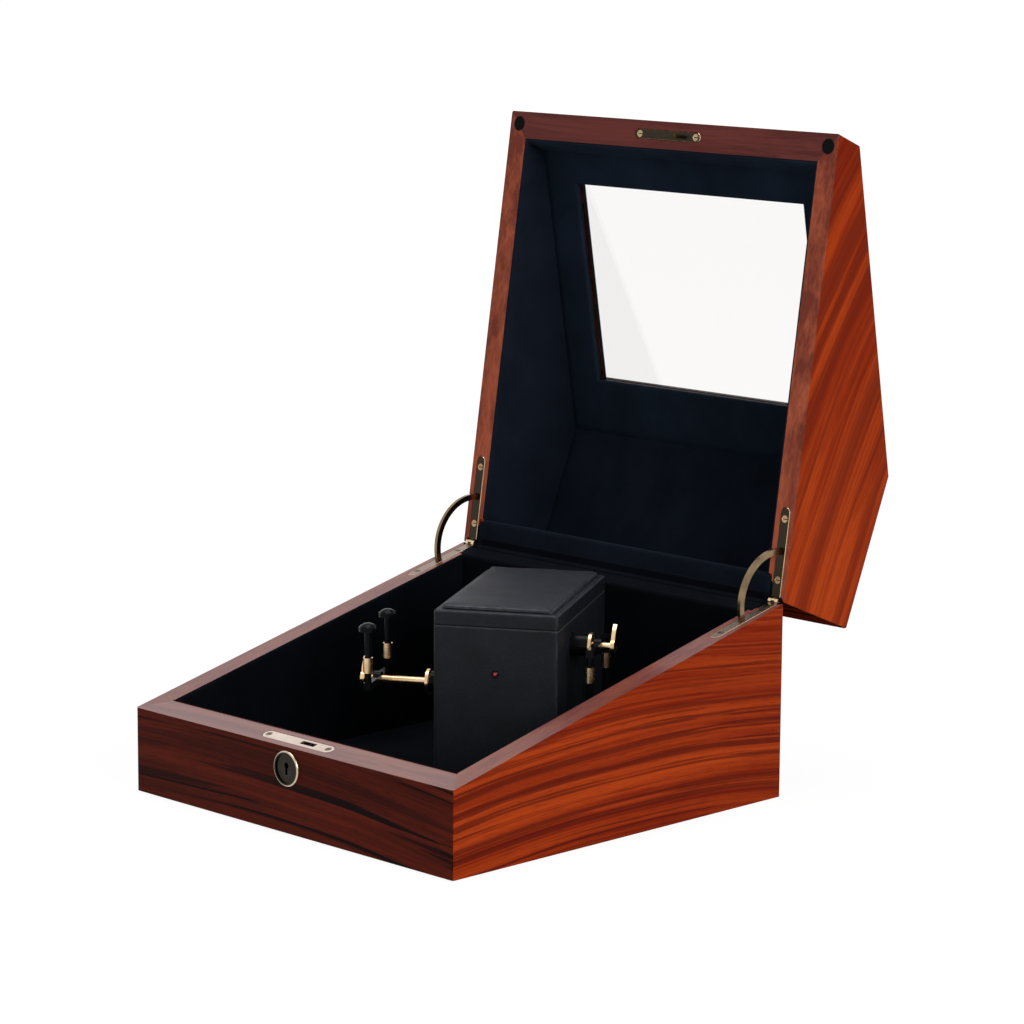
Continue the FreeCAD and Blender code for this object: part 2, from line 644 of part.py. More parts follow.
def lid_outline():
    """The closed lid from the side."""
    return [(FRONT_Y, rim_z(FRONT_Y, HALF_GAP)), (BACK_Y, rim_z(BACK_Y, HALF_GAP)), (BACK_Y, LID_TOP_Z),
            (RIDGE_Y, LID_TOP_Z), (FRONT_Y, LID_LIP_Z)]


def window_box(grow, low, high):
    """A block on the slope, as wide and long as the window grown on every side."""
    return on_slope(box(-WINDOW_W / 2 - grow, WINDOW_W / 2 + grow, WINDOW_FRONT_MARGIN - grow,
                        WINDOW_FRONT_MARGIN + WINDOW_L + grow, low, high))


def make_lid():
    block = prism_x(lid_outline(), -HALF_W, HALF_W)
    soft = [e for e in block.Edges if max(v.Z - rim_z(v.Y, HALF_GAP) for v in e.Vertexes) > EDGE_R]
    block = block.makeFillet(EDGE_R, soft)
    boards = {name: block.common(region) for name, region in plan_of_boards().items()}
    shell = inset(lid_outline(), [0, BACK_T, PANEL_T, PANEL_T, FRONT_T])
    rim_front, rim_back, top_back, ridge, lip = shell
    top_panel = [(RIDGE_Y, LID_TOP_Z), (INNER_BACK, LID_TOP_Z), top_back, ridge]
    slope_front = (INNER_FRONT, LID_LIP_Z + FRONT_T * SLOPE_TAN)
    window_panel = [slope_front, (RIDGE_Y, LID_TOP_Z), ridge, lip]
    panel = block.common(prism_x(window_panel, -INNER_X, INNER_X))
    through = window_box(0, -FAR, FAR)
    rebate = window_box(REBATE, -PANEL_T - LINING_T, -WINDOW_LIP)
    glass = window_box(REBATE, -WINDOW_LIP - GLASS_T, -WINDOW_LIP)
    bead = window_box(REBATE, -PANEL_T, -WINDOW_LIP - GLASS_T).cut(through)
    closed = {
        "lid_top_panel": block.common(prism_x(top_panel, -INNER_X, INNER_X)),
        "lid_window_panel": cut(panel, through, rebate),
        "window_glass": glass,
        "glazing_bead": bead,
    }
    link_seat, link = link_plate_shape()
    screws = []
    for name, x in (("left", -LEAF_X), ("right", LEAF_X)):
        tools = [on_rim(shape) for shape in hinge_cuts(x, 1)]
        leaf = leaf_plate(x, 1)[1]
        for y in LEAF_SCREWS_Y:
            whole, slotted = screw(x, y, -1)
            leaf = leaf.cut(whole)
            tools.append(on_rim(whole))
            screws.append(on_rim(slotted))
        closed["lid_leaf_" + name] = on_rim(leaf)
        for board in (name, "back"):
            boards[board] = cut(boards[board], *tools)
    boards["front"] = boards["front"].cut(on_rim(link_seat))
    for x in (-LINK_PLATE_L / 2 + LOCK_SCREW_INSET, LINK_PLATE_L / 2 - LOCK_SCREW_INSET):
        whole, slotted = screw(x, LOCK_RIM, -1)
        link = link.cut(whole)
        boards["front"] = boards["front"].cut(on_rim(whole))
        screws.append(on_rim(slotted))
    rivets = [rod(LINK_RIVET_R, LINK_RIVET_H, V(x, LOCK_RIM, HALF_GAP - LINK_RIVET_H), AXIS_Z)
              for x in LINK_RIVETS_X]
    link = fuse(link, *rivets)
    bumpers = []
    for name, x in (("left", -HALF_W + BUMPER_INSET), ("right", HALF_W - BUMPER_INSET)):
        disc = on_rim(rod(BUMPER_R, BUMPER_T, V(x, -RIM_L + BUMPER_INSET, HALF_GAP - BUMPER_PROUD), AXIS_Z))
        bumpers.append(disc)
        for board in (name, "front"):
            boards[board] = boards[board].cut(disc)
    back_flap = flap(1)
    for board in ("left", "back", "right"):
        boards[board] = boards[board].cut(back_flap)
    for name, shape in boards.items():
        closed["lid_" + name + "_board"] = shape
    closed["link_plate"] = on_rim(link)
    closed["lid_screws"] = Part.makeCompound(screws)
    closed["lid_bumpers"] = Part.makeCompound(bumpers)
    lined = inset(shell, [0, LINING_T, LINING_T, LINING_T, LINING_T])
    back_and_top = [rim_back, top_back, ridge, lined[3], lined[2], lined[1]]
    slope_and_lip = [ridge, lip, rim_front, lined[0], lined[4], lined[3]]
    closed["lid_lining_back"] = fuse(prism_x(back_and_top, -INNER_X, INNER_X), back_flap)
    closed["lid_lining_window"] = prism_x(slope_and_lip, -INNER_X, INNER_X).cut(through)
    closed["lid_lining_sides"] = Part.makeCompound(
        [prism_x(lined, -INNER_X, -LINED_X), prism_x(lined, LINED_X, INNER_X)])
    for name, shape in closed.items():
        parts[name] = opened(shape)


# The drive unit, in its own axes

def gear(teeth, x0, x1, tooth_angle):
    """A spur gear about the X axis with one tooth centred on tooth_angle, measured from +Y to +Z."""
    pitch_r = GEAR_MODULE * teeth / 2
    base_r = pitch_r * math.cos(math.radians(PRESSURE_ANGLE))
    tip_r = pitch_r + GEAR_MODULE
    root_r = pitch_r - GEAR_ROOT_SHARE * GEAR_MODULE
    roll = math.tan(math.radians(PRESSURE_ANGLE)) - math.radians(PRESSURE_ANGLE)
    half_base = math.pi / (2 * teeth) - GEAR_BACKLASH / (4 * pitch_r) + roll

    def half_angle(radius):
        grip = math.acos(min(1.0, base_r / radius))
        return half_base - (math.tan(grip) - grip)

    def at(radius, angle):
        return V(x0, radius * math.cos(angle), radius * math.sin(angle))
    start_r = max(base_r, root_r)
    flank = [start_r + (tip_r - start_r) * step / FLANK_STEPS for step in range(FLANK_STEPS + 1)]
    edges = []
    pitch = 2 * math.pi / teeth
    for index in range(teeth):
        centre = math.radians(tooth_angle) + index * pitch
        rising = [at(r, centre - half_angle(r)) for r in flank]
        falling = [at(r, centre + half_angle(r)) for r in reversed(flank)]
        root_in = at(root_r, centre - half_base)
        root_out = at(root_r, centre + half_base)
        next_root = at(root_r, centre + pitch - half_base)
        for points in (rising, falling):
            curve = Part.BSplineCurve()
            curve.interpolate(points)
            edges.append(curve.toShape())
        edges.append(Part.Arc(rising[-1], at(tip_r, centre), falling[0]).toShape())
        edges.append(Part.Arc(root_out, at(root_r, centre + pitch / 2), next_root).toShape())
        if start_r > root_r:
            edges.append(Part.makeLine(root_in, rising[0]))
            edges.append(Part.makeLine(falling[-1], root_out))
    wire = Part.Wire(Part.__sortEdges__(edges))
    return Part.Face(wire).extrude(V(x1 - x0, 0, 0))


def crowned_pad(half_x, half_y, z):
    """A low cushion: arched sections, joined along its length, that rise from thin ends to the crown."""
    def section(y, height):
        edge = z + PAD_EDGE_H
        corners = [V(-half_x, y, edge), V(-half_x, y, z), V(half_x, y, z), V(half_x, y, edge)]
        top = Part.Arc(corners[3], V(0, y, edge + height), corners[0]).toShape()
        lines = [Part.makeLine(corners[i], corners[i + 1]) for i in range(3)]
        return Part.Wire(lines + [top])
    shoulder = half_y - PAD_SHOULDER
    heights = [(-half_y, PAD_END_SHARE), (-shoulder, PAD_SHOULDER_SHARE), (0, 1.0),
               (shoulder, PAD_SHOULDER_SHARE), (half_y, PAD_END_SHARE)]
    return Part.makeLoft([section(y, PAD_CROWN * share) for y, share in heights], True)


def make_drive():
    half_w = DRIVE_HALF_W
    half_d = DRIVE_D / 2
    wall = DRIVE_WALL
    shell = rounded_box(-half_w, half_w, -half_d, half_d, LINED_FLOOR_Z, SHELL_Z, DRIVE_CORNER_R)
    shell = shell.cut(box(-half_w + wall, half_w - wall, -half_d + wall, half_d - wall, SHELL_FLOOR_Z, FAR))
    led_z = SHELL_Z - LED_DROP
    led_hole = rod(LED_R, wall, V(0, DRIVE_FRONT, led_z), AXIS_Y)
    bush_seats = [rod(BUSH_R, wall, V(-half_w, SPINDLE_Y, LEFT_Z), AXIS_X),
                  rod(BUSH_R, wall, V(half_w - wall, SPINDLE_Y, RIGHT_Z), AXIS_X)]
    local = {"drive_shell": cut(shell, led_hole, *bush_seats)}

    cover = rounded_box(-half_w, half_w, -half_d, half_d, SHELL_Z, SHELL_Z + COVER_H, DRIVE_CORNER_R)
    top_edges = [e for e in cover.Edges if e.BoundBox.ZMin > SHELL_Z + COVER_H - NEAR]
    cover = cover.makeFillet(COVER_EDGE_R, top_edges)
    low_edges = [e for e in cover.Edges if e.BoundBox.ZMax < SHELL_Z + NEAR]
    cover = cover.makeFillet(COVER_GROOVE_R, low_edges)
    lip_x = half_w - wall - COVER_LIP_CLEAR
    lip_y = half_d - wall - COVER_LIP_CLEAR
    lip = box(-lip_x, lip_x, -lip_y, lip_y, SHELL_Z - COVER_LIP_H, SHELL_Z)
    hollow = box(-lip_x + COVER_LIP_T, lip_x - COVER_LIP_T, -lip_y + COVER_LIP_T, lip_y - COVER_LIP_T,
                 SHELL_Z - COVER_LIP_H, SHELL_Z + COVER_H - COVER_TOP_T)
    local["drive_cover"] = fuse(cover, lip).cut(hollow)
    local["drive_pad"] = crowned_pad(half_w - PAD_INSET, half_d - PAD_INSET, SHELL_Z + COVER_H)

    inner_front = DRIVE_FRONT + wall
    board_y = inner_front + BOARD_STAND
    board = box(-BOARD_W / 2, BOARD_W / 2, board_y, board_y + BOARD_T,
                led_z - BOARD_H / 2, led_z + BOARD_H / 2)
    posts = [rod(BOARD_POST_R, BOARD_STAND, V(x, inner_front, z), AXIS_Y)
             for x in (-BOARD_W / 2 + BOARD_POST_INSET, BOARD_W / 2 - BOARD_POST_INSET)
             for z in (led_z - BOARD_H / 2 + BOARD_POST_INSET, led_z + BOARD_H / 2 - BOARD_POST_INSET)]
    local["control_board"] = fuse(board, *posts)
    led = rod(LED_R, board_y - DRIVE_FRONT, V(0, DRIVE_FRONT, led_z), AXIS_Y)
    dome_r = (LED_R ** 2 + LED_PROUD ** 2) / (2 * LED_PROUD)
    dome = Part.makeSphere(dome_r, V(0, DRIVE_FRONT - LED_PROUD + dome_r, led_z))
    dome = dome.common(rod(LED_R, LED_PROUD, V(0, DRIVE_FRONT - LED_PROUD, led_z), AXIS_Y))
    local["led_lens"] = fuse(led, dome)

    make_gear_train(local)

    tray_y0 = PINION_Y + MOTOR_R + FRAME_T
    cells_y = [tray_y0 + TRAY_T + CELL_R + CELL_GAP + index * (2 * CELL_R + CELL_GAP) for index in range(2)]
    tray_y1 = cells_y[1] + CELL_R + CELL_GAP + TRAY_T
    half_l = (CELL_L + CELL_NUB_L) / 2 + CELL_GAP
    tray = box(-half_l - TRAY_T, half_l + TRAY_T, tray_y0, tray_y1,
               SHELL_FLOOR_Z, SHELL_FLOOR_Z + TRAY_WALL_H)
    tray = tray.cut(box(-half_l, half_l, tray_y0 + TRAY_T, tray_y1 - TRAY_T, SHELL_FLOOR_Z + TRAY_T, FAR))
    local["battery_tray"] = tray
    cells = []
    for index, y in enumerate(cells_y):
        facing = 1 if index else -1
        z = SHELL_FLOOR_Z + TRAY_T + CELL_R
        start = -facing * (CELL_L + CELL_NUB_L) / 2
        can = rod(CELL_R, CELL_L, V(start, y, z), V(facing, 0, 0))
        nub = rod(CELL_NUB_R, CELL_NUB_L, V(start + facing * CELL_L, y, z), V(facing, 0, 0))
        cells.append(fuse(can, nub))
    local["battery_cells"] = Part.makeCompound(cells)
    for name, shape in local.items():
        parts[name] = in_drive(shape)


def make_gear_train(local):
    """The bracket that carries both spindles and the motor, the wall bushes, the motor and its pinion."""
    frame_y0 = SPINDLE_Y - GEAR_MODULE * GEAR_TEETH / 2 - FRAME_FRONT_MARGIN
    frame_y1 = PINION_Y + FRAME_BACK_MARGIN
    frame_top = RIGHT_Z + SPINDLE_R + FRAME_T
    foot = box(-FRAME_X - FRAME_T, FRAME_X + FRAME_T, frame_y0, frame_y1,
               SHELL_FLOOR_Z, SHELL_FLOOR_Z + FRAME_T)
    bore_r = SPINDLE_R + SPINDLE_RUNNING
    left = box(-FRAME_X - FRAME_T, -FRAME_X, frame_y0, frame_y1, SHELL_FLOOR_Z, frame_top)
    left = left.cut(rod(bore_r, FRAME_T, V(-FRAME_X - FRAME_T, SPINDLE_Y, LEFT_Z), AXIS_X))
    right = box(FRAME_X, FRAME_X + FRAME_T, frame_y0, frame_y1, SHELL_FLOOR_Z, frame_top)
    right = cut(right, rod(bore_r, FRAME_T, V(FRAME_X, SPINDLE_Y, RIGHT_Z), AXIS_X),
                rod(MOTOR_HOLE_R, FRAME_T, V(FRAME_X, PINION_Y, LEFT_Z), AXIS_X))
    local["gear_frame"] = fuse(foot, left, right)

    bushes = []
    for outwards, z in ((-1, LEFT_Z), (1, RIGHT_Z)):
        along = V(outwards, 0, 0)
        inner = V(outwards * (DRIVE_HALF_W - DRIVE_WALL), SPINDLE_Y, z)
        sleeve = rod(BUSH_R, DRIVE_WALL, inner, along)
        collar = rod(COLLAR_R, COLLAR_L, V(outwards * DRIVE_HALF_W, SPINDLE_Y, z), along)
        bushes.append(fuse(sleeve, collar).cut(rod(bore_r, DRIVE_WALL + COLLAR_L, inner, along)))
    local["spindle_bushes"] = Part.makeCompound(bushes)

    motor_x = FRAME_X + FRAME_T
    motor = rod(MOTOR_R, MOTOR_L, V(motor_x, PINION_Y, LEFT_Z), AXIS_X)
    bore = rod(MOTOR_SHAFT_R + PIN_RUNNING, MOTOR_SHAFT_DEPTH, V(motor_x, PINION_Y, LEFT_Z), AXIS_X)
    local["drive_motor"] = motor.cut(bore)
    pinion = gear(PINION_TEETH, -GEAR_T / 2, GEAR_T / 2, 180).translated(V(0, PINION_Y, LEFT_Z))
    shaft_l = motor_x + MOTOR_SHAFT_DEPTH - PIN_RUNNING + GEAR_T / 2
    shaft = rod(MOTOR_SHAFT_R, shaft_l, V(-GEAR_T / 2, PINION_Y, LEFT_Z), AXIS_X)
    local["motor_pinion"] = fuse(pinion, shaft)


# The watch holders, each made about the X axis and reaching out along +X

def finger_lever(x):
    """A small disc on the bar's end with a curved finger that sweeps up and back."""
    hub = rod(LEVER_HUB_R, LEVER_HUB_T, V(x, 0, 0), AXIS_X)
    finger = sector_x(LEVER_R - LEVER_W / 2, LEVER_R + LEVER_W / 2, x, x + LEVER_HUB_T,
                      180 - LEVER_SWEEP, 180)
    return fuse(hub, finger.translated(V(0, LEVER_R, 0)))


def grip_post(y):
    """A black stem with a mushroom cap, standing in its ferrule."""
    stem_z = FERRULE_START + FERRULE_L
    cap_z = CAP_TOP - CAP_DOME - CAP_EDGE_T
    stem = rod(STEM_R, cap_z - stem_z, V(0, y, stem_z), AXIS_Z)
    rim = rod(CAP_R, CAP_EDGE_T, V(0, y, cap_z), AXIS_Z)
    dome_r = (CAP_R ** 2 + CAP_DOME ** 2) / (2 * CAP_DOME)
    dome = Part.makeSphere(dome_r, V(0, y, CAP_TOP - dome_r))
    dome = dome.common(rod(CAP_R, CAP_DOME, V(0, y, CAP_TOP - CAP_DOME), AXIS_Z))
    return fuse(stem, rim, dome)


def post_bracket():
    """A cross bar on the strap bar with a short upright at each end."""
    half = BRACKET_H / 2
    bar = box(-half, half, -POST_SPREAD - half, POST_SPREAD + half, -half, half)
    hub = rod(BRACKET_HUB_R, BRACKET_H, V(-half, 0, 0), AXIS_X)
    uprights = [rod(STEM_R, FERRULE_START, V(0, y, 0), AXIS_Z) for y in (-POST_SPREAD, POST_SPREAD)]
    return fuse(bar, hub, *uprights).cut(rod(BAR_R, BRACKET_H, V(-half, 0, 0), AXIS_X))


def make_holder(name, outwards, z, tooth_angle, extension, posts_up):
    """One spindle with its gear and the strap bar, levers and posts that slide in it."""
    inner_end = -GEAR_T / 2 - SPINDLE_TAIL

    def turn_outwards(shape):
        return shape if outwards > 0 else shape.rotated(ORIGIN, AXIS_Z, 180)

    def seat(shape):
        return in_drive(turn_outwards(shape).translated(V(0, SPINDLE_Y, z)))
    tube = rod(SPINDLE_R, FLANGE_X - FLANGE_T - inner_end, V(inner_end, 0, 0), AXIS_X)
    flange = rod(FLANGE_R, FLANGE_T, V(FLANGE_X - FLANGE_T, 0, 0), AXIS_X)
    bore = rod(BAR_R + BAR_RUNNING, FLANGE_X - inner_end, V(inner_end, 0, 0), AXIS_X)
    parts[name + "_spindle"] = seat(fuse(tube, flange).cut(bore))
    wheel = gear(GEAR_TEETH, -GEAR_T / 2, GEAR_T / 2, tooth_angle)
    wheel = wheel.cut(rod(SPINDLE_R, GEAR_T, V(-GEAR_T / 2, 0, 0), AXIS_X))
    parts[name + "_spindle_gear"] = in_drive(wheel.translated(V(0, SPINDLE_Y, z)))

    bar_end = FLANGE_X + BAR_REACH + extension
    bar = rod(BAR_R, BAR_L, V(bar_end - BAR_L, 0, 0), AXIS_X)
    lever = finger_lever(bar_end)
    if outwards < 0:
        lever = lever.mirror(V(bar_end, 0, 0), AXIS_Y)
    parts[name + "_strap_bar"] = seat(fuse(bar, lever))
    post_x = bar_end - POST_INSET

    def on_bar(shape):
        upright = shape if posts_up else shape.rotated(ORIGIN, AXIS_X, 180)
        return seat(upright.translated(V(post_x, 0, 0)))
    spread = (-POST_SPREAD, POST_SPREAD)
    ferrules = [rod(FERRULE_R, FERRULE_L, V(0, y, FERRULE_START), AXIS_Z) for y in spread]
    parts[name + "_post_bracket"] = on_bar(post_bracket())
    parts[name + "_post_ferrules"] = on_bar(Part.makeCompound(ferrules))
    parts[name + "_grip_posts"] = on_bar(Part.makeCompound([grip_post(y) for y in spread]))


def main():
    make_base()
    make_lid()
    make_drive()
    half_tooth = 180.0 / GEAR_TEETH
    make_holder("left", -1, LEFT_Z, 90, LEFT_EXTENSION, True)
    make_holder("right", 1, RIGHT_Z, 270 + half_tooth, 0, False)
    os.makedirs("parts", exist_ok=True)
    for name, shape in parts.items():
        shape.exportStep("parts/" + name + ".step")


main()
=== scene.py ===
"""Looks of a watch winder box: rosewood case, velvet linings, leather drive unit and brass fittings.

Lengths are in metres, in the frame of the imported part: +Z up, the front at -Y.
"""

from __future__ import annotations

import json
import logging
import math
from dataclasses import dataclass, field, replace
from enum import Enum

import bmesh
import bpy
import numpy as np
from mathutils import Matrix, Vector

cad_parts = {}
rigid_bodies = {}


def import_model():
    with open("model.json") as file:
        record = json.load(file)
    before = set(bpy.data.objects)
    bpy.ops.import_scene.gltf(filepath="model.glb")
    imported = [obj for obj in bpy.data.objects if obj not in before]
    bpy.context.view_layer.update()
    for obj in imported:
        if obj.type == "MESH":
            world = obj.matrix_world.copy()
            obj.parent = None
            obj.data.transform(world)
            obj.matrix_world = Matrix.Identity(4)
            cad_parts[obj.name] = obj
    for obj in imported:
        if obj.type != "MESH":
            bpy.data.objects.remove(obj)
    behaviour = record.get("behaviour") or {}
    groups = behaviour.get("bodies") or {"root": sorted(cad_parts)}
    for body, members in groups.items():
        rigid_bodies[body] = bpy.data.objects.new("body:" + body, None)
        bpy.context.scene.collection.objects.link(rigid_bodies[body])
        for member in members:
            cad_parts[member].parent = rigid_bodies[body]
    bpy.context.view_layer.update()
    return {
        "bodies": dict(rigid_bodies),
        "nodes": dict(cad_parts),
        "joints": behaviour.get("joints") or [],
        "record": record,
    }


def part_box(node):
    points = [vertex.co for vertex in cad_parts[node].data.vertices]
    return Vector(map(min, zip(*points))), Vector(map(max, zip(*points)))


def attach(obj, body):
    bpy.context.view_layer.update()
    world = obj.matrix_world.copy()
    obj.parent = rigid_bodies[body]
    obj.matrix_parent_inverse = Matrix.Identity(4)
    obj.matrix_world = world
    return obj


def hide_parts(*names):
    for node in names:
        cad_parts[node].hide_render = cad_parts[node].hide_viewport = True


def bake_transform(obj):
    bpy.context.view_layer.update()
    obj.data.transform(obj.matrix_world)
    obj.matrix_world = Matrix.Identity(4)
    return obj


LOG = logging.getLogger("watch_winder_box")
SAME_PLACE = 1e-6
SLIVER = 1e-7
LINE_DIGITS = 7
CORNER_DIGITS = 5
SWELLS = ((61, 23, 0.0), (37, -71, 1.3), (113, 89, 2.1))
ORIGIN = (0.0, 0.0, 0.0)
Triple = tuple[float, float, float]
Colour = Triple
Inputs = dict[str | int, object]


class Grain(Enum):
    """Which way the grain runs in a board, seen with the lid closed."""

    ACROSS = "across"
    BACKWARDS = "backwards"


class Facing(Enum):
    """On which side of its path a cloth shows, walking along the path in the (y, z) plane."""

    LEFT = 1.0
    RIGHT = -1.0


class RimKind(Enum):
    """A board's rim: the face that looks the rim's way, those square to it, or all others near the hinge."""

    FACE = "face"
    EDGES = "edges"
    HINGE = "hinge"


class Socket(Enum):
    """What a socket of a node group carries."""

    VECTOR = "NodeSocketVector"
    COLOUR = "NodeSocketColor"
    NUMBER = "NodeSocketFloat"


Sockets = dict[Socket, tuple[str, ...]]


# Node trees

class Graph:
    """A node tree with short calls for the nodes that the finishes use."""

    def __init__(self, tree: bpy.types.NodeTree) -> None:
        """Keeps the tree."""
        self.tree = tree

    def fill(self, node: bpy.types.Node, inputs: Inputs) -> None:
        """Links sockets into a node's inputs, and sets plain values on the others.

        Args:
            node: the node.
            inputs: values or sockets, by the name or place of the input.
        """
        for key, value in inputs.items():
            if isinstance(value, bpy.types.NodeSocket):
                self.tree.links.new(value, node.inputs[key])
            else:
                node.inputs[key].default_value = value

    def put(self, kind: str, inputs: Inputs | None = None, **settings: object) -> bpy.types.Node:
        """Adds a node.

        Args:
            kind: the node's type name.
            inputs: values or sockets for its inputs, by name or place.
            settings: properties of the node.

        Returns:
            The new node.
        """
        node = self.tree.nodes.new(kind)
        for name, value in settings.items():
            setattr(node, name, value)
        self.fill(node, inputs or {})
        return node

    def sum(self, operation: str, first: object, second: object = 0.0) -> bpy.types.NodeSocket:
        """The output of a Math node with that operation."""
        return self.put("ShaderNodeMath", {0: first, 1: second}, operation=operation).outputs[0]

    def times(self, first: object, second: object) -> bpy.types.NodeSocket:
        """The product of two numbers."""
        return self.sum("MULTIPLY", first, second)

    def vector_sum(self, operation: str, first: object, second: object = ORIGIN) -> bpy.types.NodeSocket:
        """The vector that a Vector Math node with that operation gives."""
        return self.put("ShaderNodeVectorMath", {0: first, 1: second}, operation=operation).outputs[0]

    def measure(self, operation: str, first: object, second: object = ORIGIN) -> bpy.types.NodeSocket:
        """The number that a Vector Math node with that operation gives."""
        return self.put("ShaderNodeVectorMath", {0: first, 1: second}, operation=operation).outputs["Value"]

    def parts(self, vector: bpy.types.NodeSocket) -> bpy.types.NodeOutputs:
        """The x, y and z of a vector."""
        return self.put("ShaderNodeSeparateXYZ", {0: vector}).outputs

    def moved(self, vector: object, turn: Triple, shift: Triple = ORIGIN) -> bpy.types.NodeSocket:
        """A vector turned by three angles in radians, and then shifted."""
        inputs = {"Vector": vector, "Rotation": turn, "Location": shift}
        return self.put("ShaderNodeMapping", inputs).outputs[0]

    def mix(self, share: object, first: object, second: object) -> bpy.types.NodeSocket:
        """A colour between two colours."""
        return self.put("ShaderNodeMix", {0: share, 6: first, 7: second}, data_type="RGBA").outputs[2]

    def noise(self, vector: object, scale: object, detail: float,
              roughness: float = 0.5) -> bpy.types.NodeSocket:
        """The value of a noise texture, about 0.5 on average."""
        return self.put("ShaderNodeTexNoise", {"Vector": vector, "Scale": scale, "Detail": detail,
                                               "Roughness": roughness}).outputs[0]

    def span(self, value: object, low: float, high: float, to_low: float = 0.0, to_high: float = 1.0,
             smooth: bool = False) -> bpy.types.NodeSocket:
        """A value carried from one range to another and held at its ends."""
        node = self.put("ShaderNodeMapRange", {0: value, 1: low, 2: high, 3: to_low, 4: to_high},
                        interpolation_type="SMOOTHSTEP" if smooth else "LINEAR")
        return node.outputs[0]

    def between(self, share: object, ends: tuple[float, float]) -> bpy.types.NodeSocket:
        """A number between two ends, for a share from 0 to 1."""
        return self.span(share, 0.0, 1.0, *ends)


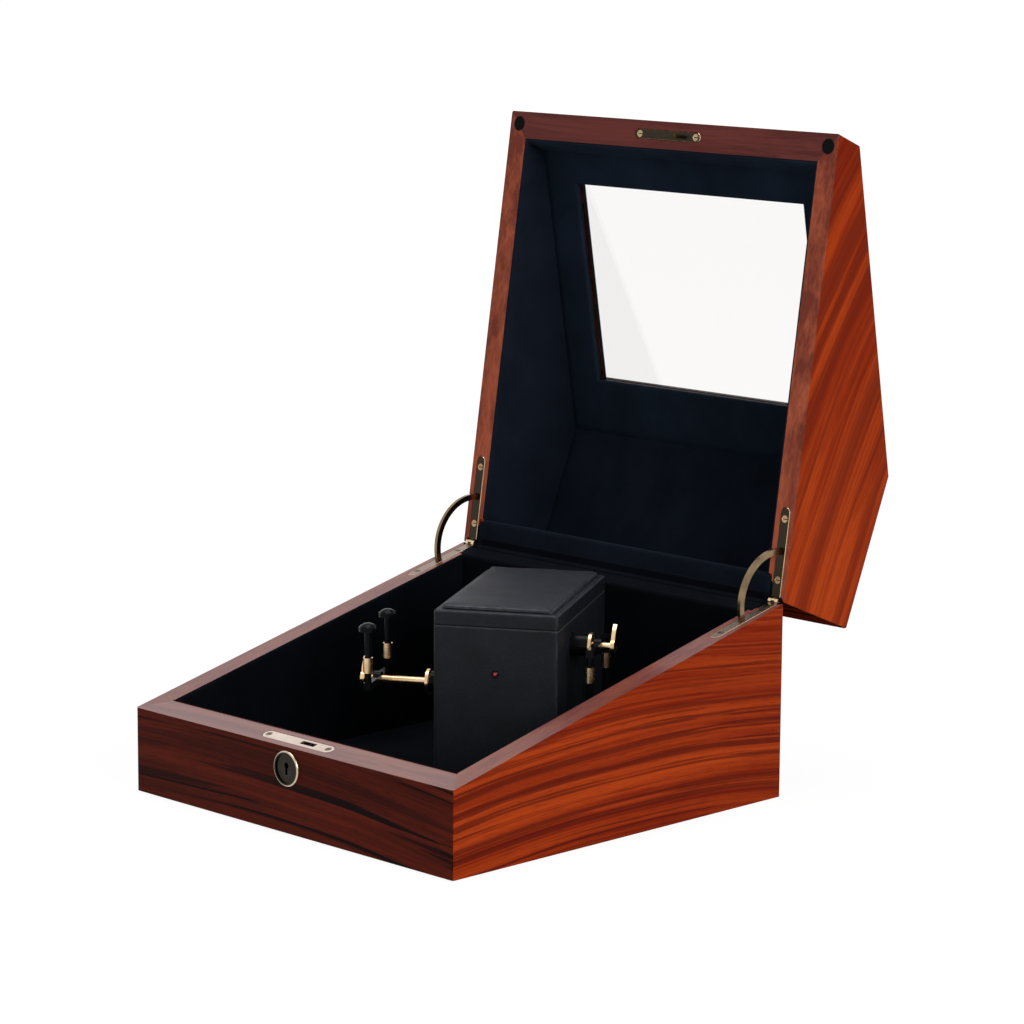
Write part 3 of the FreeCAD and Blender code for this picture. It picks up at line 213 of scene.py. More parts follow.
@dataclass
class Effects:
    """The shader node groups that more than one finish uses, each built once.

    Bands, streaks, patches and pits each have features to the metre along and across the grain, and octaves.
    A range gives the values of a noise that stand for none and all of a feature.
    """

    trees: dict[str, bpy.types.NodeTree] = field(default_factory=dict)
    broad_range: tuple[float, float] = (0.3, 0.7)
    noise_middle: Triple = (0.5, 0.5, 0.5)
    sway_scale: float = 5.0
    sway_squash: Triple = (1.0, 2.5, 2.5)
    grain_roughness: float = 0.55
    bands: Triple = (1.0, 75.0, 2.0)
    band_range: tuple[float, float] = (0.38, 0.62)
    band_share: float = 0.56
    streaks: Triple = (3.0, 480.0, 3.0)
    streak_range: tuple[float, float] = (0.36, 0.64)
    streak_share: float = 0.44
    vein_length: float = 0.8
    vein_fray: float = 0.06
    vein_range: tuple[float, float] = (0.535, 0.615)
    vein_tone: float = 0.5
    patches: Triple = (1.0, 30.0, 1.0)
    patch_range: tuple[float, float] = (0.34, 0.52)
    patch_least: float = 0.2
    pits: Triple = (70.0, 2200.0, 1.0)
    pit_range: tuple[float, float] = (0.57, 0.69)
    pit_share: float = 0.4
    # Painted highlight along box edges: the scale and spread of the noise that breaks it up, and where it is
    # full.
    highlight_scale: float = 140.0
    highlight_spread: tuple[float, float] = (0.7, 1.3)
    highlight_full: float = 0.45
    pebble_roundness: float = 0.4
    pebble_reach: float = 0.7
    pebble_share: float = 0.8
    pebble_scatter: float = 0.9
    pebble_tone: float = 0.5
    fine_pitch: float = 2.5
    fine_share: float = 0.2
    blotch_scale: float = 38.0
    blotch_share: float = 0.5
    nap_scale: float = 22.0
    nap_share: float = 0.7
    fibre_share: float = 0.3
    line_scale: float = 2200.0
    line_stretch: Triple = (0.04, 1.0, 1.0)
    soft_roughness: float = 0.6

    def open_group(self, name: str, inputs: Sockets,
                   outputs: Sockets) -> tuple[Graph, bpy.types.NodeOutputs, bpy.types.Node]:
        """Starts a node group.

        Args:
            name: the group's name.
            inputs: the names of the inputs of each kind.
            outputs: the names of the outputs of each kind.

        Returns:
            The group's graph, what it is given and its output node.
        """
        tree = bpy.data.node_groups.new(name, "ShaderNodeTree")
        for way, sockets in (("INPUT", inputs), ("OUTPUT", outputs)):
            for kind, labels in sockets.items():
                for label in labels:
                    tree.interface.new_socket(name=label, in_out=way, socket_type=kind.value)
        self.trees[name] = tree
        graph = Graph(tree)
        return graph, graph.put("NodeGroupInput").outputs, graph.put("NodeGroupOutput")

    def filled(self, graph: Graph, name: str, inputs: Inputs) -> bpy.types.NodeOutputs:
        """Puts a group into a graph, feeds its inputs and gives its outputs."""
        return graph.put("ShaderNodeGroup", inputs, node_tree=self.trees[name]).outputs

    def build(self) -> None:
        """Builds every group."""
        self.build_rosewood()
        self.build_edge_highlight()
        self.build_pebbles()
        self.build_pile()
        self.build_handling()

    def build_rosewood(self) -> None:
        """Rosewood figure along X: bands, dark veins and streaks of a noise stretched along the grain.

        The grain is lifted by arch times the square of the distance from the arch's centre, and swayed by a
        slow noise, so that the figure bends in long curves. The tone changes along the board by its slope.
        """
        graph, given, made = self.open_group(
            "rosewood_figure",
            {Socket.VECTOR: ("Vector", "Log Place"), Socket.COLOUR: ("Light", "Dark", "Vein"),
             Socket.NUMBER: ("Vein Share", "Vein Pitch", "Arch", "Arch Centre", "Tone Slope", "Waviness")},
            {Socket.COLOUR: ("Color",), Socket.NUMBER: ("Height", "Tone")})
        along = graph.parts(given["Vector"])[0]
        off = graph.sum("SUBTRACT", along, given["Arch Centre"])
        lift = graph.times(graph.times(off, off), given["Arch"])
        lifted = graph.put("ShaderNodeCombineXYZ", {2: lift}).outputs[0]
        arched = graph.vector_sum("ADD", given["Vector"], lifted)
        cut = graph.vector_sum("ADD", arched, given["Log Place"])
        squashed = graph.vector_sum("MULTIPLY", cut, self.sway_squash)
        sway = graph.put("ShaderNodeTexNoise", {"Vector": squashed, "Scale": self.sway_scale, "Detail": 1.0})
        centred = graph.vector_sum("SUBTRACT", sway.outputs[1], self.noise_middle)
        push = graph.put("ShaderNodeVectorMath", {0: centred, "Scale": given["Waviness"]}, operation="SCALE")
        warped = graph.vector_sum("ADD", cut, push.outputs[0])

        def stretched(lengthwise: float, across: object, detail: float) -> bpy.types.NodeSocket:
            """A noise stretched along the grain.

            Args:
                lengthwise: features to the metre along the grain.
                across: features to the metre across it.
                detail: octaves.

            Returns:
                The noise's value.
            """
            size = graph.put("ShaderNodeCombineXYZ", {0: lengthwise, 1: across, 2: across}).outputs[0]
            sized = graph.vector_sum("MULTIPLY", warped, size)
            return graph.noise(sized, 1.0, detail, self.grain_roughness)
        bands = graph.span(stretched(*self.bands), *self.band_range)
        streaks = graph.span(stretched(*self.streaks), *self.streak_range)
        tone = graph.sum("ADD", graph.times(bands, self.band_share), graph.times(streaks, self.streak_share))
        tone = graph.sum("ADD", tone, graph.times(along, given["Tone Slope"]))
        colour = graph.mix(graph.span(tone, 0.0, 1.0), given["Dark"], given["Light"])
        frayed = graph.sum("ADD", stretched(self.vein_length, given["Vein Pitch"], 2.0),
                           graph.times(streaks, self.vein_fray))
        line = graph.span(frayed, *self.vein_range, smooth=True)
        patch = graph.span(stretched(*self.patches), *self.patch_range, self.patch_least)
        veins = graph.times(graph.times(line, patch), given["Vein Share"])
        colour = graph.mix(veins, colour, given["Vein"])
        pits = graph.span(stretched(*self.pits), *self.pit_range)
        graph.fill(made, {"Color": graph.mix(graph.times(pits, self.pit_share), colour, given["Vein"]),
                          "Height": graph.sum("SUBTRACT", 1.0, pits),
                          "Tone": graph.sum("SUBTRACT", tone, graph.times(veins, self.vein_tone))})

    def build_edge_highlight(self) -> None:
        """Painted highlight along a box's edges: 1 where the middle one of the distances from its three faces
        is small.
        """
        graph, given, made = self.open_group(
            "edge_highlight", {Socket.VECTOR: ("Vector", "Half Size"), Socket.NUMBER: ("Width",)},
            {Socket.NUMBER: ("Mask",)})
        size = graph.vector_sum("ABSOLUTE", given["Vector"])
        x, y, z = graph.parts(graph.vector_sum("SUBTRACT", given["Half Size"], size))
        middle = graph.sum("MAXIMUM", graph.sum("MINIMUM", x, y),
                           graph.sum("MINIMUM", graph.sum("MAXIMUM", x, y), z))
        # The painted highlight's width, broken up by a noise.
        rubbed = graph.span(graph.noise(given["Vector"], self.highlight_scale, 3.0), *self.broad_range,
                            *self.highlight_spread)
        reach = graph.sum("DIVIDE", middle, graph.times(given["Width"], rubbed))
        graph.fill(made, {"Mask": graph.span(reach, self.highlight_full, 1.0, 1.0, 0.0, smooth=True)})

    def build_pebbles(self) -> None:
        """Pebbled grain: rounded cells of two sizes with creases between them."""
        graph, given, made = self.open_group(
            "pebble_grain", {Socket.VECTOR: ("Vector",), Socket.NUMBER: ("Scale",)},
            {Socket.NUMBER: ("Height", "Tone")})
        cells = graph.put("ShaderNodeTexVoronoi", {
            "Vector": given["Vector"], "Scale": given["Scale"], "Randomness": self.pebble_scatter,
            "Smoothness": self.pebble_roundness}, feature="SMOOTH_F1")
        fine = graph.noise(given["Vector"], graph.times(given["Scale"], self.fine_pitch), 2.0)
        rounded = graph.span(cells.outputs["Distance"], 0.0, self.pebble_reach, self.pebble_share, 0.0)
        height = graph.sum("ADD", rounded, graph.times(fine, self.fine_share))
        blotches = graph.noise(given["Vector"], self.blotch_scale, 2.0)
        blotches = graph.span(blotches, *self.broad_range, 0.0, self.blotch_share)
        tone = graph.sum("ADD", graph.times(height, self.pebble_tone), blotches)
        graph.fill(made, {"Height": height, "Tone": tone})

    def build_pile(self) -> None:
        """Cloth pile: fine upright fibres over slow changes where the nap has been brushed."""
        graph, given, made = self.open_group(
            "brushed_pile", {Socket.VECTOR: ("Vector",), Socket.NUMBER: ("Fibre Scale",)},
            {Socket.NUMBER: ("Height", "Nap")})
        fibre = graph.noise(given["Vector"], given["Fibre Scale"], 2.0, self.soft_roughness)
        nap = graph.noise(given["Vector"], self.nap_scale, 3.0, self.soft_roughness)
        brushed_nap = graph.sum("ADD", graph.span(nap, *self.broad_range, 0.0, self.nap_share),
                                graph.span(fibre, *self.broad_range, 0.0, self.fibre_share))
        graph.fill(made, {"Height": fibre, "Nap": brushed_nap})

    def build_handling(self) -> None:
        """Marks of handling on metal, plastic and glass: broad smudges and fine rubbed lines along X."""
        graph, given, made = self.open_group(
            "handling_marks", {Socket.VECTOR: ("Vector",), Socket.NUMBER: ("Smudge Scale",)},
            {Socket.NUMBER: ("Smudge", "Lines")})
        smudge = graph.noise(given["Vector"], given["Smudge Scale"], 4.0, self.soft_roughness)
        drawn = graph.vector_sum("MULTIPLY", given["Vector"], self.line_stretch)
        graph.fill(made, {"Smudge": graph.span(smudge, *self.broad_range),
                          "Lines": graph.noise(drawn, self.line_scale, 2.0)})


def rgba(colour: Colour) -> tuple[float, float, float, float]:
    """A colour with full cover."""
    return (*colour, 1.0)


@dataclass(frozen=True)
class Finish:
    """What every finish has: a name, and a material made from an empty Principled graph."""

    name: str

    def start(self) -> tuple[bpy.types.Material, Graph, bpy.types.Node, bpy.types.NodeSocket]:
        """Makes a bare material.

        Returns:
            The material, its graph, its Principled shader and the Object coordinate.
        """
        material = bpy.data.materials.new(self.name)
        material.use_nodes = True
        material.node_tree.nodes.clear()
        graph = Graph(material.node_tree)
        shader = graph.put("ShaderNodeBsdfPrincipled")
        graph.put("ShaderNodeOutputMaterial", {"Surface": shader.outputs[0]})
        place = graph.put("ShaderNodeTexCoord").outputs["Object"]
        return material, graph, shader, place

    @staticmethod
    def bump(graph: Graph, height: bpy.types.NodeSocket, strength: float,
             depth: float) -> bpy.types.NodeSocket:
        """The normal of a bump of that depth in metres."""
        inputs = {"Strength": strength, "Distance": depth, "Height": height}
        return graph.put("ShaderNodeBump", inputs).outputs[0]

    @staticmethod
    def facing(graph: Graph, looks: Triple) -> bpy.types.NodeSocket:
        """The cosine of the angle between the surface and the way that a face looks."""
        return graph.measure("DOT_PRODUCT", graph.put("ShaderNodeTexCoord").outputs["Normal"], looks)


@dataclass(frozen=True)
class Rosewood(Finish):
    """Lacquered rosewood with its grain along one board, a plainer, glossier rim and a painted highlight
    along its corners.

    A turn gives the two cosines between which a face comes to look a way.
    """

    light: Colour = (0.375, 0.045, 0.0045)
    dark: Colour = (0.150, 0.0085, 0.0008)
    vein: Colour = (0.060, 0.0030, 0.0010)
    rim: Colour = (0.150, 0.036, 0.033)
    rim_light: Colour = (0.260, 0.070, 0.040)
    # Painted highlight: a pale line along the outer corners, where light would catch the arris.
    painted_highlight: Colour = (0.300, 0.105, 0.080)
    vein_share: float = 0.68
    vein_pitch: float = 310.0
    arch: float = 0.40
    arch_centre: float = 0.0
    tone_slope: float = 0.0
    waviness: float = 0.009
    rim_kind: RimKind = RimKind.FACE
    rim_coat: float = 1.0
    hinge: Triple = ORIGIN
    hinge_reach: float = 0.018
    hinge_fade: float = 1.2
    specular: float = 0.03
    roughness: tuple[float, float] = (0.36, 0.27)
    coat_roughness: float = 0.22
    box: Triple = (0.150, 0.150, 1.0)
    painted_highlight_width: float = 0.0011
    painted_highlight_share: float = 0.7
    face_turn: tuple[float, float] = (0.97, 0.995)
    edge_turn: tuple[float, float] = (0.7, 0.9)
    hinge_turn: tuple[float, float] = (0.9, 0.98)
    pore_strength: float = 0.12
    pore_depth: float = 0.0002

    def rim_mask(self, graph: Graph, closed: bpy.types.NodeSocket,
                 rim_normal: Vector) -> bpy.types.NodeSocket:
        """1 on the board's rim and 0 elsewhere.

        Args:
            graph: the material's graph.
            closed: places on the closed box.
            rim_normal: the way the rim looks.

        Returns:
            The mask.
        """
        facing = self.facing(graph, tuple(rim_normal))
        if self.rim_kind is RimKind.FACE:
            return graph.span(facing, *self.face_turn)
        if self.rim_kind is RimKind.EDGES:
            return graph.span(graph.sum("ABSOLUTE", facing), *self.edge_turn, 1.0, 0.0)
        apart = graph.vector_sum("SUBTRACT", closed, self.hinge)
        away = graph.measure("LENGTH", graph.vector_sum("MULTIPLY", apart, (0.0, 1.0, 1.0)))
        near = graph.span(away, self.hinge_reach, self.hinge_fade * self.hinge_reach, 1.0, 0.0)
        return graph.times(near, graph.span(facing, *self.hinge_turn, 1.0, 0.0))

    def build(self, effects: Effects, grain: Grain, offset: Triple, level: tuple[float, Triple],
              rim_normal: Vector) -> bpy.types.Material:
        """Makes the material for one board.

        Args:
            effects: the shared node groups.
            grain: which way the grain runs.
            offset: where in the log this board was cut, so that no two boards match.
            level: angle in radians about X, and shift, that take the board back to the closed box.
            rim_normal: the way its rim looks.

        Returns:
            The material.
        """
        material, graph, shader, place = self.start()
        closed = graph.moved(place, (level[0], 0.0, 0.0), level[1])
        spin = math.radians(-90.0) if grain is Grain.BACKWARDS else 0.0
        figure = effects.filled(graph, "rosewood_figure", {
            "Vector": graph.moved(closed, (0.0, 0.0, spin)), "Log Place": offset, "Light": rgba(self.light),
            "Dark": rgba(self.dark), "Vein": rgba(self.vein), "Vein Share": self.vein_share,
            "Vein Pitch": self.vein_pitch, "Arch": self.arch, "Arch Centre": self.arch_centre,
            "Tone Slope": self.tone_slope, "Waviness": self.waviness})
        # Painted highlight along the box's corners.
        highlight = effects.filled(graph, "edge_highlight", {
            "Vector": closed, "Half Size": self.box, "Width": self.painted_highlight_width})
        rim = self.rim_mask(graph, closed, rim_normal)
        rim_colour = graph.mix(figure["Tone"], rgba(self.rim), rgba(self.rim_light))
        colour = graph.mix(rim, figure["Color"], rim_colour)
        graph.fill(shader, {
            "Base Color": graph.mix(graph.times(highlight["Mask"], self.painted_highlight_share), colour, rgba(self.painted_highlight)),
            "Roughness": graph.between(figure["Tone"], self.roughness),
            "Coat Weight": graph.times(rim, self.rim_coat),
            "Specular IOR Level": self.specular,
            "Coat Roughness": self.coat_roughness,
            "Normal": self.bump(graph, figure["Height"], self.pore_strength, self.pore_depth)})
        return material


@dataclass(frozen=True)
class Cloth(Finish):
    """Velvet or felt: a dark pile with a soft sheen along its nap."""

    low: Colour
    high: Colour
    sheen: float = 0.04
    sheen_tint: Colour = (0.35, 0.5, 0.8)
    sheen_roughness: float = 0.35
    roughness: tuple[float, float] = (1.0, 0.9)
    specular: float = 0.03
    fibre_scale: float = 2600.0
    fibre_strength: float = 0.5
    fibre_depth: float = 0.0004

    def build(self, effects: Effects) -> bpy.types.Material:
        """Makes the material.

        Args:
            effects: the shared node groups.

        Returns:
            The material.
        """
        material, graph, shader, place = self.start()
        pile = effects.filled(graph, "brushed_pile", {"Vector": place, "Fibre Scale": self.fibre_scale})
        graph.fill(shader, {
            "Base Color": graph.mix(pile["Nap"], rgba(self.low), rgba(self.high)),
            "Roughness": graph.between(pile["Nap"], self.roughness),
            "Specular IOR Level": self.specular,
            "Sheen Weight": self.sheen,
            "Sheen Roughness": self.sheen_roughness,
            "Sheen Tint": rgba(self.sheen_tint),
            "Normal": self.bump(graph, pile["Height"], self.fibre_strength, self.fibre_depth)})
        return material


@dataclass(frozen=True)
class Leather(Finish):
    """Fine-grained charcoal leather, lighter on its pebbles than in its creases, with a painted highlight
    along its edges and a painted shadow line along a joint.
    """

    crease: Colour = (0.0016, 0.0020, 0.0034)
    pebble: Colour = (0.0088, 0.0104, 0.0150)
    # Painted highlight along the box's edges, where light would catch them.
    painted_highlight: Colour = (0.034, 0.038, 0.048)
    painted_highlight_width: float = 0.0013
    painted_highlight_share: float = 0.8
    # Painted shadow: a dark line along a joint, where a gap would lie in shade.
    seam: Colour = (0.0007, 0.0008, 0.0011)
    shadow_line_width: float = 0.0011
    shadow_line_core: float = 0.5
    scale: float = 800.0
    specular: float = 0.2
    roughness: tuple[float, float] = (0.62, 0.46)
    grain_strength: float = 0.35
    grain_depth: float = 0.00025

    def build(self, effects: Effects, turn: float, centre: Triple, half: Triple,
              shadow_line_height: float) -> bpy.types.Material:
        """Makes the material for one box.

        Args:
            effects: the shared node groups.
            turn: angle in radians about Z that takes the box square to the axes.
            centre: the box's centre after that turn.
            half: half its size each way.
            shadow_line_height: height along which a dark line is painted as the shadow of a joint.

        Returns:
            The material.
        """
        material, graph, shader, place = self.start()
        square = graph.moved(place, (0.0, 0.0, turn), tuple(-value for value in centre))
        # Painted highlight along the box's edges.
        highlight = effects.filled(graph, "edge_highlight", {
            "Vector": square, "Half Size": half, "Width": self.painted_highlight_width})
        grain = effects.filled(graph, "pebble_grain", {"Vector": place, "Scale": self.scale})
        colour = graph.mix(grain["Tone"], rgba(self.crease), rgba(self.pebble))
        colour = graph.mix(graph.times(highlight["Mask"], self.painted_highlight_share), colour, rgba(self.painted_highlight))
        # Painted shadow line along the joint.
        off_shadow_line = graph.sum("ABSOLUTE", graph.sum("SUBTRACT", graph.parts(place)[2], shadow_line_height))
        shadow_line_mask = graph.span(off_shadow_line, self.shadow_line_core * self.shadow_line_width, self.shadow_line_width, 1.0, 0.0,
                                 smooth=True)
        graph.fill(shader, {
            "Base Color": graph.mix(shadow_line_mask, colour, rgba(self.seam)),
            "Roughness": graph.between(grain["Tone"], self.roughness),
            "Specular IOR Level": self.specular,
            "Normal": self.bump(graph, grain["Height"], self.grain_strength, self.grain_depth)})
        return material


@dataclass(frozen=True)
class Metal(Finish):
    """Polished or plain metal with smudges that change its gloss."""

    bright: Colour = (0.86, 0.62, 0.38)
    dull: Colour = (0.55, 0.36, 0.19)
    gloss: tuple[float, float] = (0.16, 0.32)
    smudge_scale: float = 70.0
    line_strength: float = 0.15
    line_depth: float = 0.00001

    def colour(self, graph: Graph, place: bpy.types.NodeSocket,
               smudged: bpy.types.NodeSocket) -> bpy.types.NodeSocket:
        """The metal's colour all over, which is the smudged one."""
        return smudged

    def build(self, effects: Effects) -> bpy.types.Material:
        """Makes the material.

        Args:
            effects: the shared node groups.

        Returns:
            The material.
        """
        material, graph, shader, place = self.start()
        marks = effects.filled(graph, "handling_marks", {"Vector": place, "Smudge Scale": self.smudge_scale})
        smudged = graph.mix(marks["Smudge"], rgba(self.bright), rgba(self.dull))
        graph.fill(shader, {
            "Base Color": self.colour(graph, place, smudged),
            "Roughness": graph.between(marks["Smudge"], self.gloss),
            "Metallic": 1.0,
            "Normal": self.bump(graph, marks["Lines"], self.line_strength, self.line_depth)})
        return material


@dataclass(frozen=True)
class PlateMetal(Metal):
    """A metal plate whose flat face shows a painted reflection in place of the metal, and whose edges keep
    the bright metal.
    """

    # Painted reflection: the colour of what the polished face mirrors.
    face: Colour = (0.034, 0.028, 0.019)
    looks: Triple = (0.0, 0.0, 1.0)
    face_turn: tuple[float, float] = (0.90, 0.98)

    def colour(self, graph: Graph, place: bpy.types.NodeSocket,
               smudged: bpy.types.NodeSocket) -> bpy.types.NodeSocket:
        """The painted reflection where the surface looks the plate's way."""
        level = graph.span(self.facing(graph, self.looks), *self.face_turn)
        return graph.mix(level, smudged, rgba(self.face))


@dataclass(frozen=True)
class SlottedMetal(Metal):
    """Screws with painted shade in their slots below their level heads.

    The shade gives the shares of a slot's depth at which it is full and at which it ends.
    """

    # Painted shade in the slots.
    slot: Colour = (0.012, 0.010, 0.008)
    looks: Triple = (0.0, 0.0, 1.0)
    level: float = 0.0
    slot_depth: float = 0.0004
    shade: tuple[float, float] = (0.8, 0.3)

    def colour(self, graph: Graph, place: bpy.types.NodeSocket,
               smudged: bpy.types.NodeSocket) -> bpy.types.NodeSocket:
        """Painted shade where the surface is below the heads' level."""
        proud = graph.span(graph.measure("DOT_PRODUCT", place, self.looks),
                           *(self.level - share * self.slot_depth for share in self.shade))
        return graph.mix(proud, rgba(self.slot), smudged)


@dataclass(frozen=True)
class RingedMetal(Metal):
    """A round metal plate whose face inside a bright ring shows a dark painted reflection, on an axis along
    Y.
    """

    # Painted reflection: the dark colour that the polished face shows inside the ring.
    face: Colour = (0.026, 0.021, 0.016)
    centre: Triple = (0.0, 0.0, 0.043)
    face_radius: float = 0.0106
    fade: float = 0.0003

    def colour(self, graph: Graph, place: bpy.types.NodeSocket,
               smudged: bpy.types.NodeSocket) -> bpy.types.NodeSocket:
        """The dark painted reflection up to the face's radius.

        Args:
            graph: the material's graph.
            place: the Object coordinate.
            smudged: the metal's own colour.

        Returns:
            The colour.
        """
        apart = graph.vector_sum("SUBTRACT", place, self.centre)
        away = graph.measure("LENGTH", graph.vector_sum("MULTIPLY", apart, (1.0, 0.0, 1.0)))
        ring = graph.span(away, self.face_radius - self.fade, self.face_radius + self.fade)
        return graph.mix(ring, rgba(self.face), smudged)


@dataclass(frozen=True)
class Moulding(Finish):
    """Moulded plastic or rubber with a faint skin texture."""

    low: Colour = (0.0022, 0.0024, 0.0030)
    high: Colour = (0.0046, 0.0050, 0.0062)
    gloss: tuple[float, float] = (0.22, 0.32)
    smudge_scale: float = 70.0
    skin_scale: float = 1800.0
    skin_strength: float = 0.08
    skin_depth: float = 0.0001
    specular: float = 0.06

    def build(self, effects: Effects) -> bpy.types.Material:
        """Makes the material.

        Args:
            effects: the shared node groups.

        Returns:
            The material.
        """
        material, graph, shader, place = self.start()
        marks = effects.filled(graph, "handling_marks", {"Vector": place, "Smudge Scale": self.smudge_scale})
        skin = effects.filled(graph, "pebble_grain", {"Vector": place, "Scale": self.skin_scale})
        graph.fill(shader, {
            "Base Color": graph.mix(skin["Tone"], rgba(self.low), rgba(self.high)),
            "Roughness": graph.between(marks["Smudge"], self.gloss),
            "Specular IOR Level": self.specular,
            "Normal": self.bump(graph, skin["Height"], self.skin_strength, self.skin_depth)})
        return material


@dataclass(frozen=True)
class Lens(Finish):
    """The red indicator lens: deep red plastic that glows a little at its centre."""

    edge: Colour = (0.080, 0.003, 0.006)
    core: Colour = (0.620, 0.050, 0.080)
    core_radius: float = 0.0009
    core_full: float = 0.3
    skin_scale: float = 600.0
    blur: tuple[float, float] = (0.9, 1.1)
    glow: float = 0.35
    roughness: float = 0.2
    specular: float = 0.25

    def build(self, effects: Effects, axis: tuple[Vector, Vector]) -> bpy.types.Material:
        """Makes the material.

        Args:
            effects: the shared node groups.
            axis: a point on the lens's axis, and the axis's direction.

        Returns:
            The material.
        """
        material, graph, shader, place = self.start()
        skin = effects.filled(graph, "pebble_grain", {"Vector": place, "Scale": self.skin_scale})
        from_point = graph.vector_sum("SUBTRACT", place, tuple(axis[0]))
        away = graph.measure("LENGTH", graph.vector_sum("CROSS_PRODUCT", from_point, tuple(axis[1])))
        blurred = graph.times(away, graph.between(skin["Tone"], self.blur))
        core = graph.span(blurred, self.core_full * self.core_radius, self.core_radius, 1.0, 0.0, smooth=True)
        colour = graph.mix(core, rgba(self.edge), rgba(self.core))
        graph.fill(shader, {
            "Base Color": colour,
            "Emission Color": colour,
            "Emission Strength": self.glow,
            "Roughness": self.roughness,
            "Specular IOR Level": self.specular})
        return material


@dataclass(frozen=True)
class Glass(Finish):
    """Clear float glass with faint smears."""

    tint: Colour = (0.912, 0.900, 0.896)
    smear_scale: float = 14.0
    smears: tuple[float, float] = (0.0, 0.006)
    bending: float = 1.45

    def build(self, effects: Effects) -> bpy.types.Material:
        """Makes the material.

        Args:
            effects: the shared node groups.

        Returns:
            The material.
        """
        material, graph, shader, place = self.start()
        marks = effects.filled(graph, "handling_marks", {"Vector": place, "Smudge Scale": self.smear_scale})
        graph.fill(shader, {
            "Roughness": graph.between(marks["Smudge"], self.smears),
            "Base Color": rgba(self.tint),
            "Transmission Weight": 1.0,
            "IOR": self.bending})
        return material


# Shapes

def mesh_object(name: str, points: np.ndarray, faces: np.ndarray) -> bpy.types.Object:
    """Puts points and quads into a new object and joins points that coincide.

    Args:
        name: the piece's name.
        points: an array of places, one row each.
        faces: an array of quads, as rows of point numbers.

    Returns:
        The object, at the origin, with smooth faces.
    """
    mesh = bpy.data.meshes.new(name)
    mesh.from_pydata(points.tolist(), [], faces.tolist())
    editable = bmesh.new()
    editable.from_mesh(mesh)
    bmesh.ops.remove_doubles(editable, verts=editable.verts, dist=SAME_PLACE)
    bmesh.ops.dissolve_degenerate(editable, edges=editable.edges, dist=SLIVER)
    editable.to_mesh(mesh)
    editable.free()
    mesh.polygons.foreach_set("use_smooth", np.ones(len(mesh.polygons), bool))
    mesh.update()
    made = bpy.data.objects.new(name, mesh)
    bpy.context.scene.collection.objects.link(made)
    return made


def grid_faces(rows: int, columns: int, first: int = 0) -> np.ndarray:
    """Quads of a grid of points numbered row by row, turning from columns to rows.

    Args:
        rows: how many rows of points there are.
        columns: how many points a row has.
        first: the number of the first point.

    Returns:
        The quads, as rows of point numbers.
    """
    corner = first + np.arange(rows - 1)[:, None] * columns + np.arange(columns - 1)[None, :]
    quads = np.stack([corner, corner + columns, corner + columns + 1, corner + 1], axis=-1)
    return quads.reshape(-1, 4)


def closed_slab(name: str, shown: np.ndarray, backing: np.ndarray,
                keep: np.ndarray | None = None) -> bpy.types.Object:
    """A thin closed piece between two grids of points that meet along their borders.

    Args:
        name: the piece's name.
        shown: grid of places on the side that shows, by row and column.
        backing: grid of places behind it.
        keep: which cells of the grid are there, or None for all.

    Returns:
        The object, with its normals turned outwards.
    """
    rows, columns = shown.shape[:2]
    front = grid_faces(rows, columns)
    back = grid_faces(rows, columns, rows * columns)[:, ::-1]
    if keep is not None:
        front = front[keep.ravel()]
        back = back[keep.ravel()]
    points = np.concatenate([shown.reshape(-1, 3), backing.reshape(-1, 3)])
    made = mesh_object(name, points, np.concatenate([front, back]))
    editable = bmesh.new()
    editable.from_mesh(made.data)
    bmesh.ops.recalc_face_normals(editable, faces=editable.faces)
    editable.to_mesh(made.data)
    editable.free()
    return made


def rolled(distance: np.ndarray, radius: float) -> np.ndarray:
    """A rolled edge: a quarter circle that rises from 0 at the border to 1 at the radius, and then stays."""
    inside = np.clip((distance - SAME_PLACE) / radius, 0.0, 1.0)
    return np.sqrt(1.0 - (1.0 - inside) ** 2)


def edge_lines(stops: list[float], rolls: list[float], step: float, bends: int = 6) -> np.ndarray:
    """Places of grid lines between stops: even ones, with more of them within the roll beside each stop.

    Args:
        stops: places of the borders.
        rolls: the radius of the rolled edge at each border.
        step: about how far apart the even lines are.
        bends: how many lines a rolled edge has.

    Returns:
        The places in order.
    """
    low, high = min(stops), max(stops)
    bend = 1.0 - np.cos(np.linspace(0.0, np.pi / 2, bends))
    ordered = sorted(stops)
    lines = [np.linspace(a, b, max(3, int(round((b - a) / step)) + 1))
             for a, b in zip(ordered, ordered[1:])]
    lines += [stop + side * roll * bend for stop, roll in zip(stops, rolls) for side in (-1.0, 1.0)]
    every = np.unique(np.round(np.concatenate(lines), LINE_DIGITS))
    return every[(every > low - SAME_PLACE) & (every < high + SAME_PLACE)]


def rounded_path(corners: np.ndarray, radii: list[float], steps: int = 8) -> np.ndarray:
    """A line through corners, with an arc of its own radius at each inner corner.

    Args:
        corners: (y, z) places, one row each.
        radii: the arc's radius at each inner corner.
        steps: points on each arc.

    Returns:
        The (y, z) points of the whole path.
    """
    pieces = [corners[:1]]
    for index, radius in enumerate(radii, start=1):
        here = corners[index]
        back = corners[index - 1] - here
        ahead = corners[index + 1] - here
        back = back / np.linalg.norm(back)
        ahead = ahead / np.linalg.norm(ahead)
        half = math.acos(float(np.clip(back @ ahead, -1.0, 1.0))) / 2
        middle = (back + ahead) / np.linalg.norm(back + ahead)
        centre = here + middle * radius / math.sin(half)
        start = here + back * radius / math.tan(half) - centre
        end = here + ahead * radius / math.tan(half) - centre
        turn = math.pi - 2 * half
        share = np.linspace(0.0, 1.0, steps)[:, None]
        arc = (np.sin((1 - share) * turn) * start + np.sin(share * turn) * end) / math.sin(turn)
        pieces.append(centre + arc)
    pieces.append(corners[-1:])
    return np.concatenate(pieces)


def brushed(first: np.ndarray, second: np.ndarray, height: float) -> np.ndarray:
    """A slow unevenness of that height, as a cloth has on its board: the mean of a few sines."""
    return height * sum(np.sin(a * first + b * second + c) for a, b, c in SWELLS) / len(SWELLS)


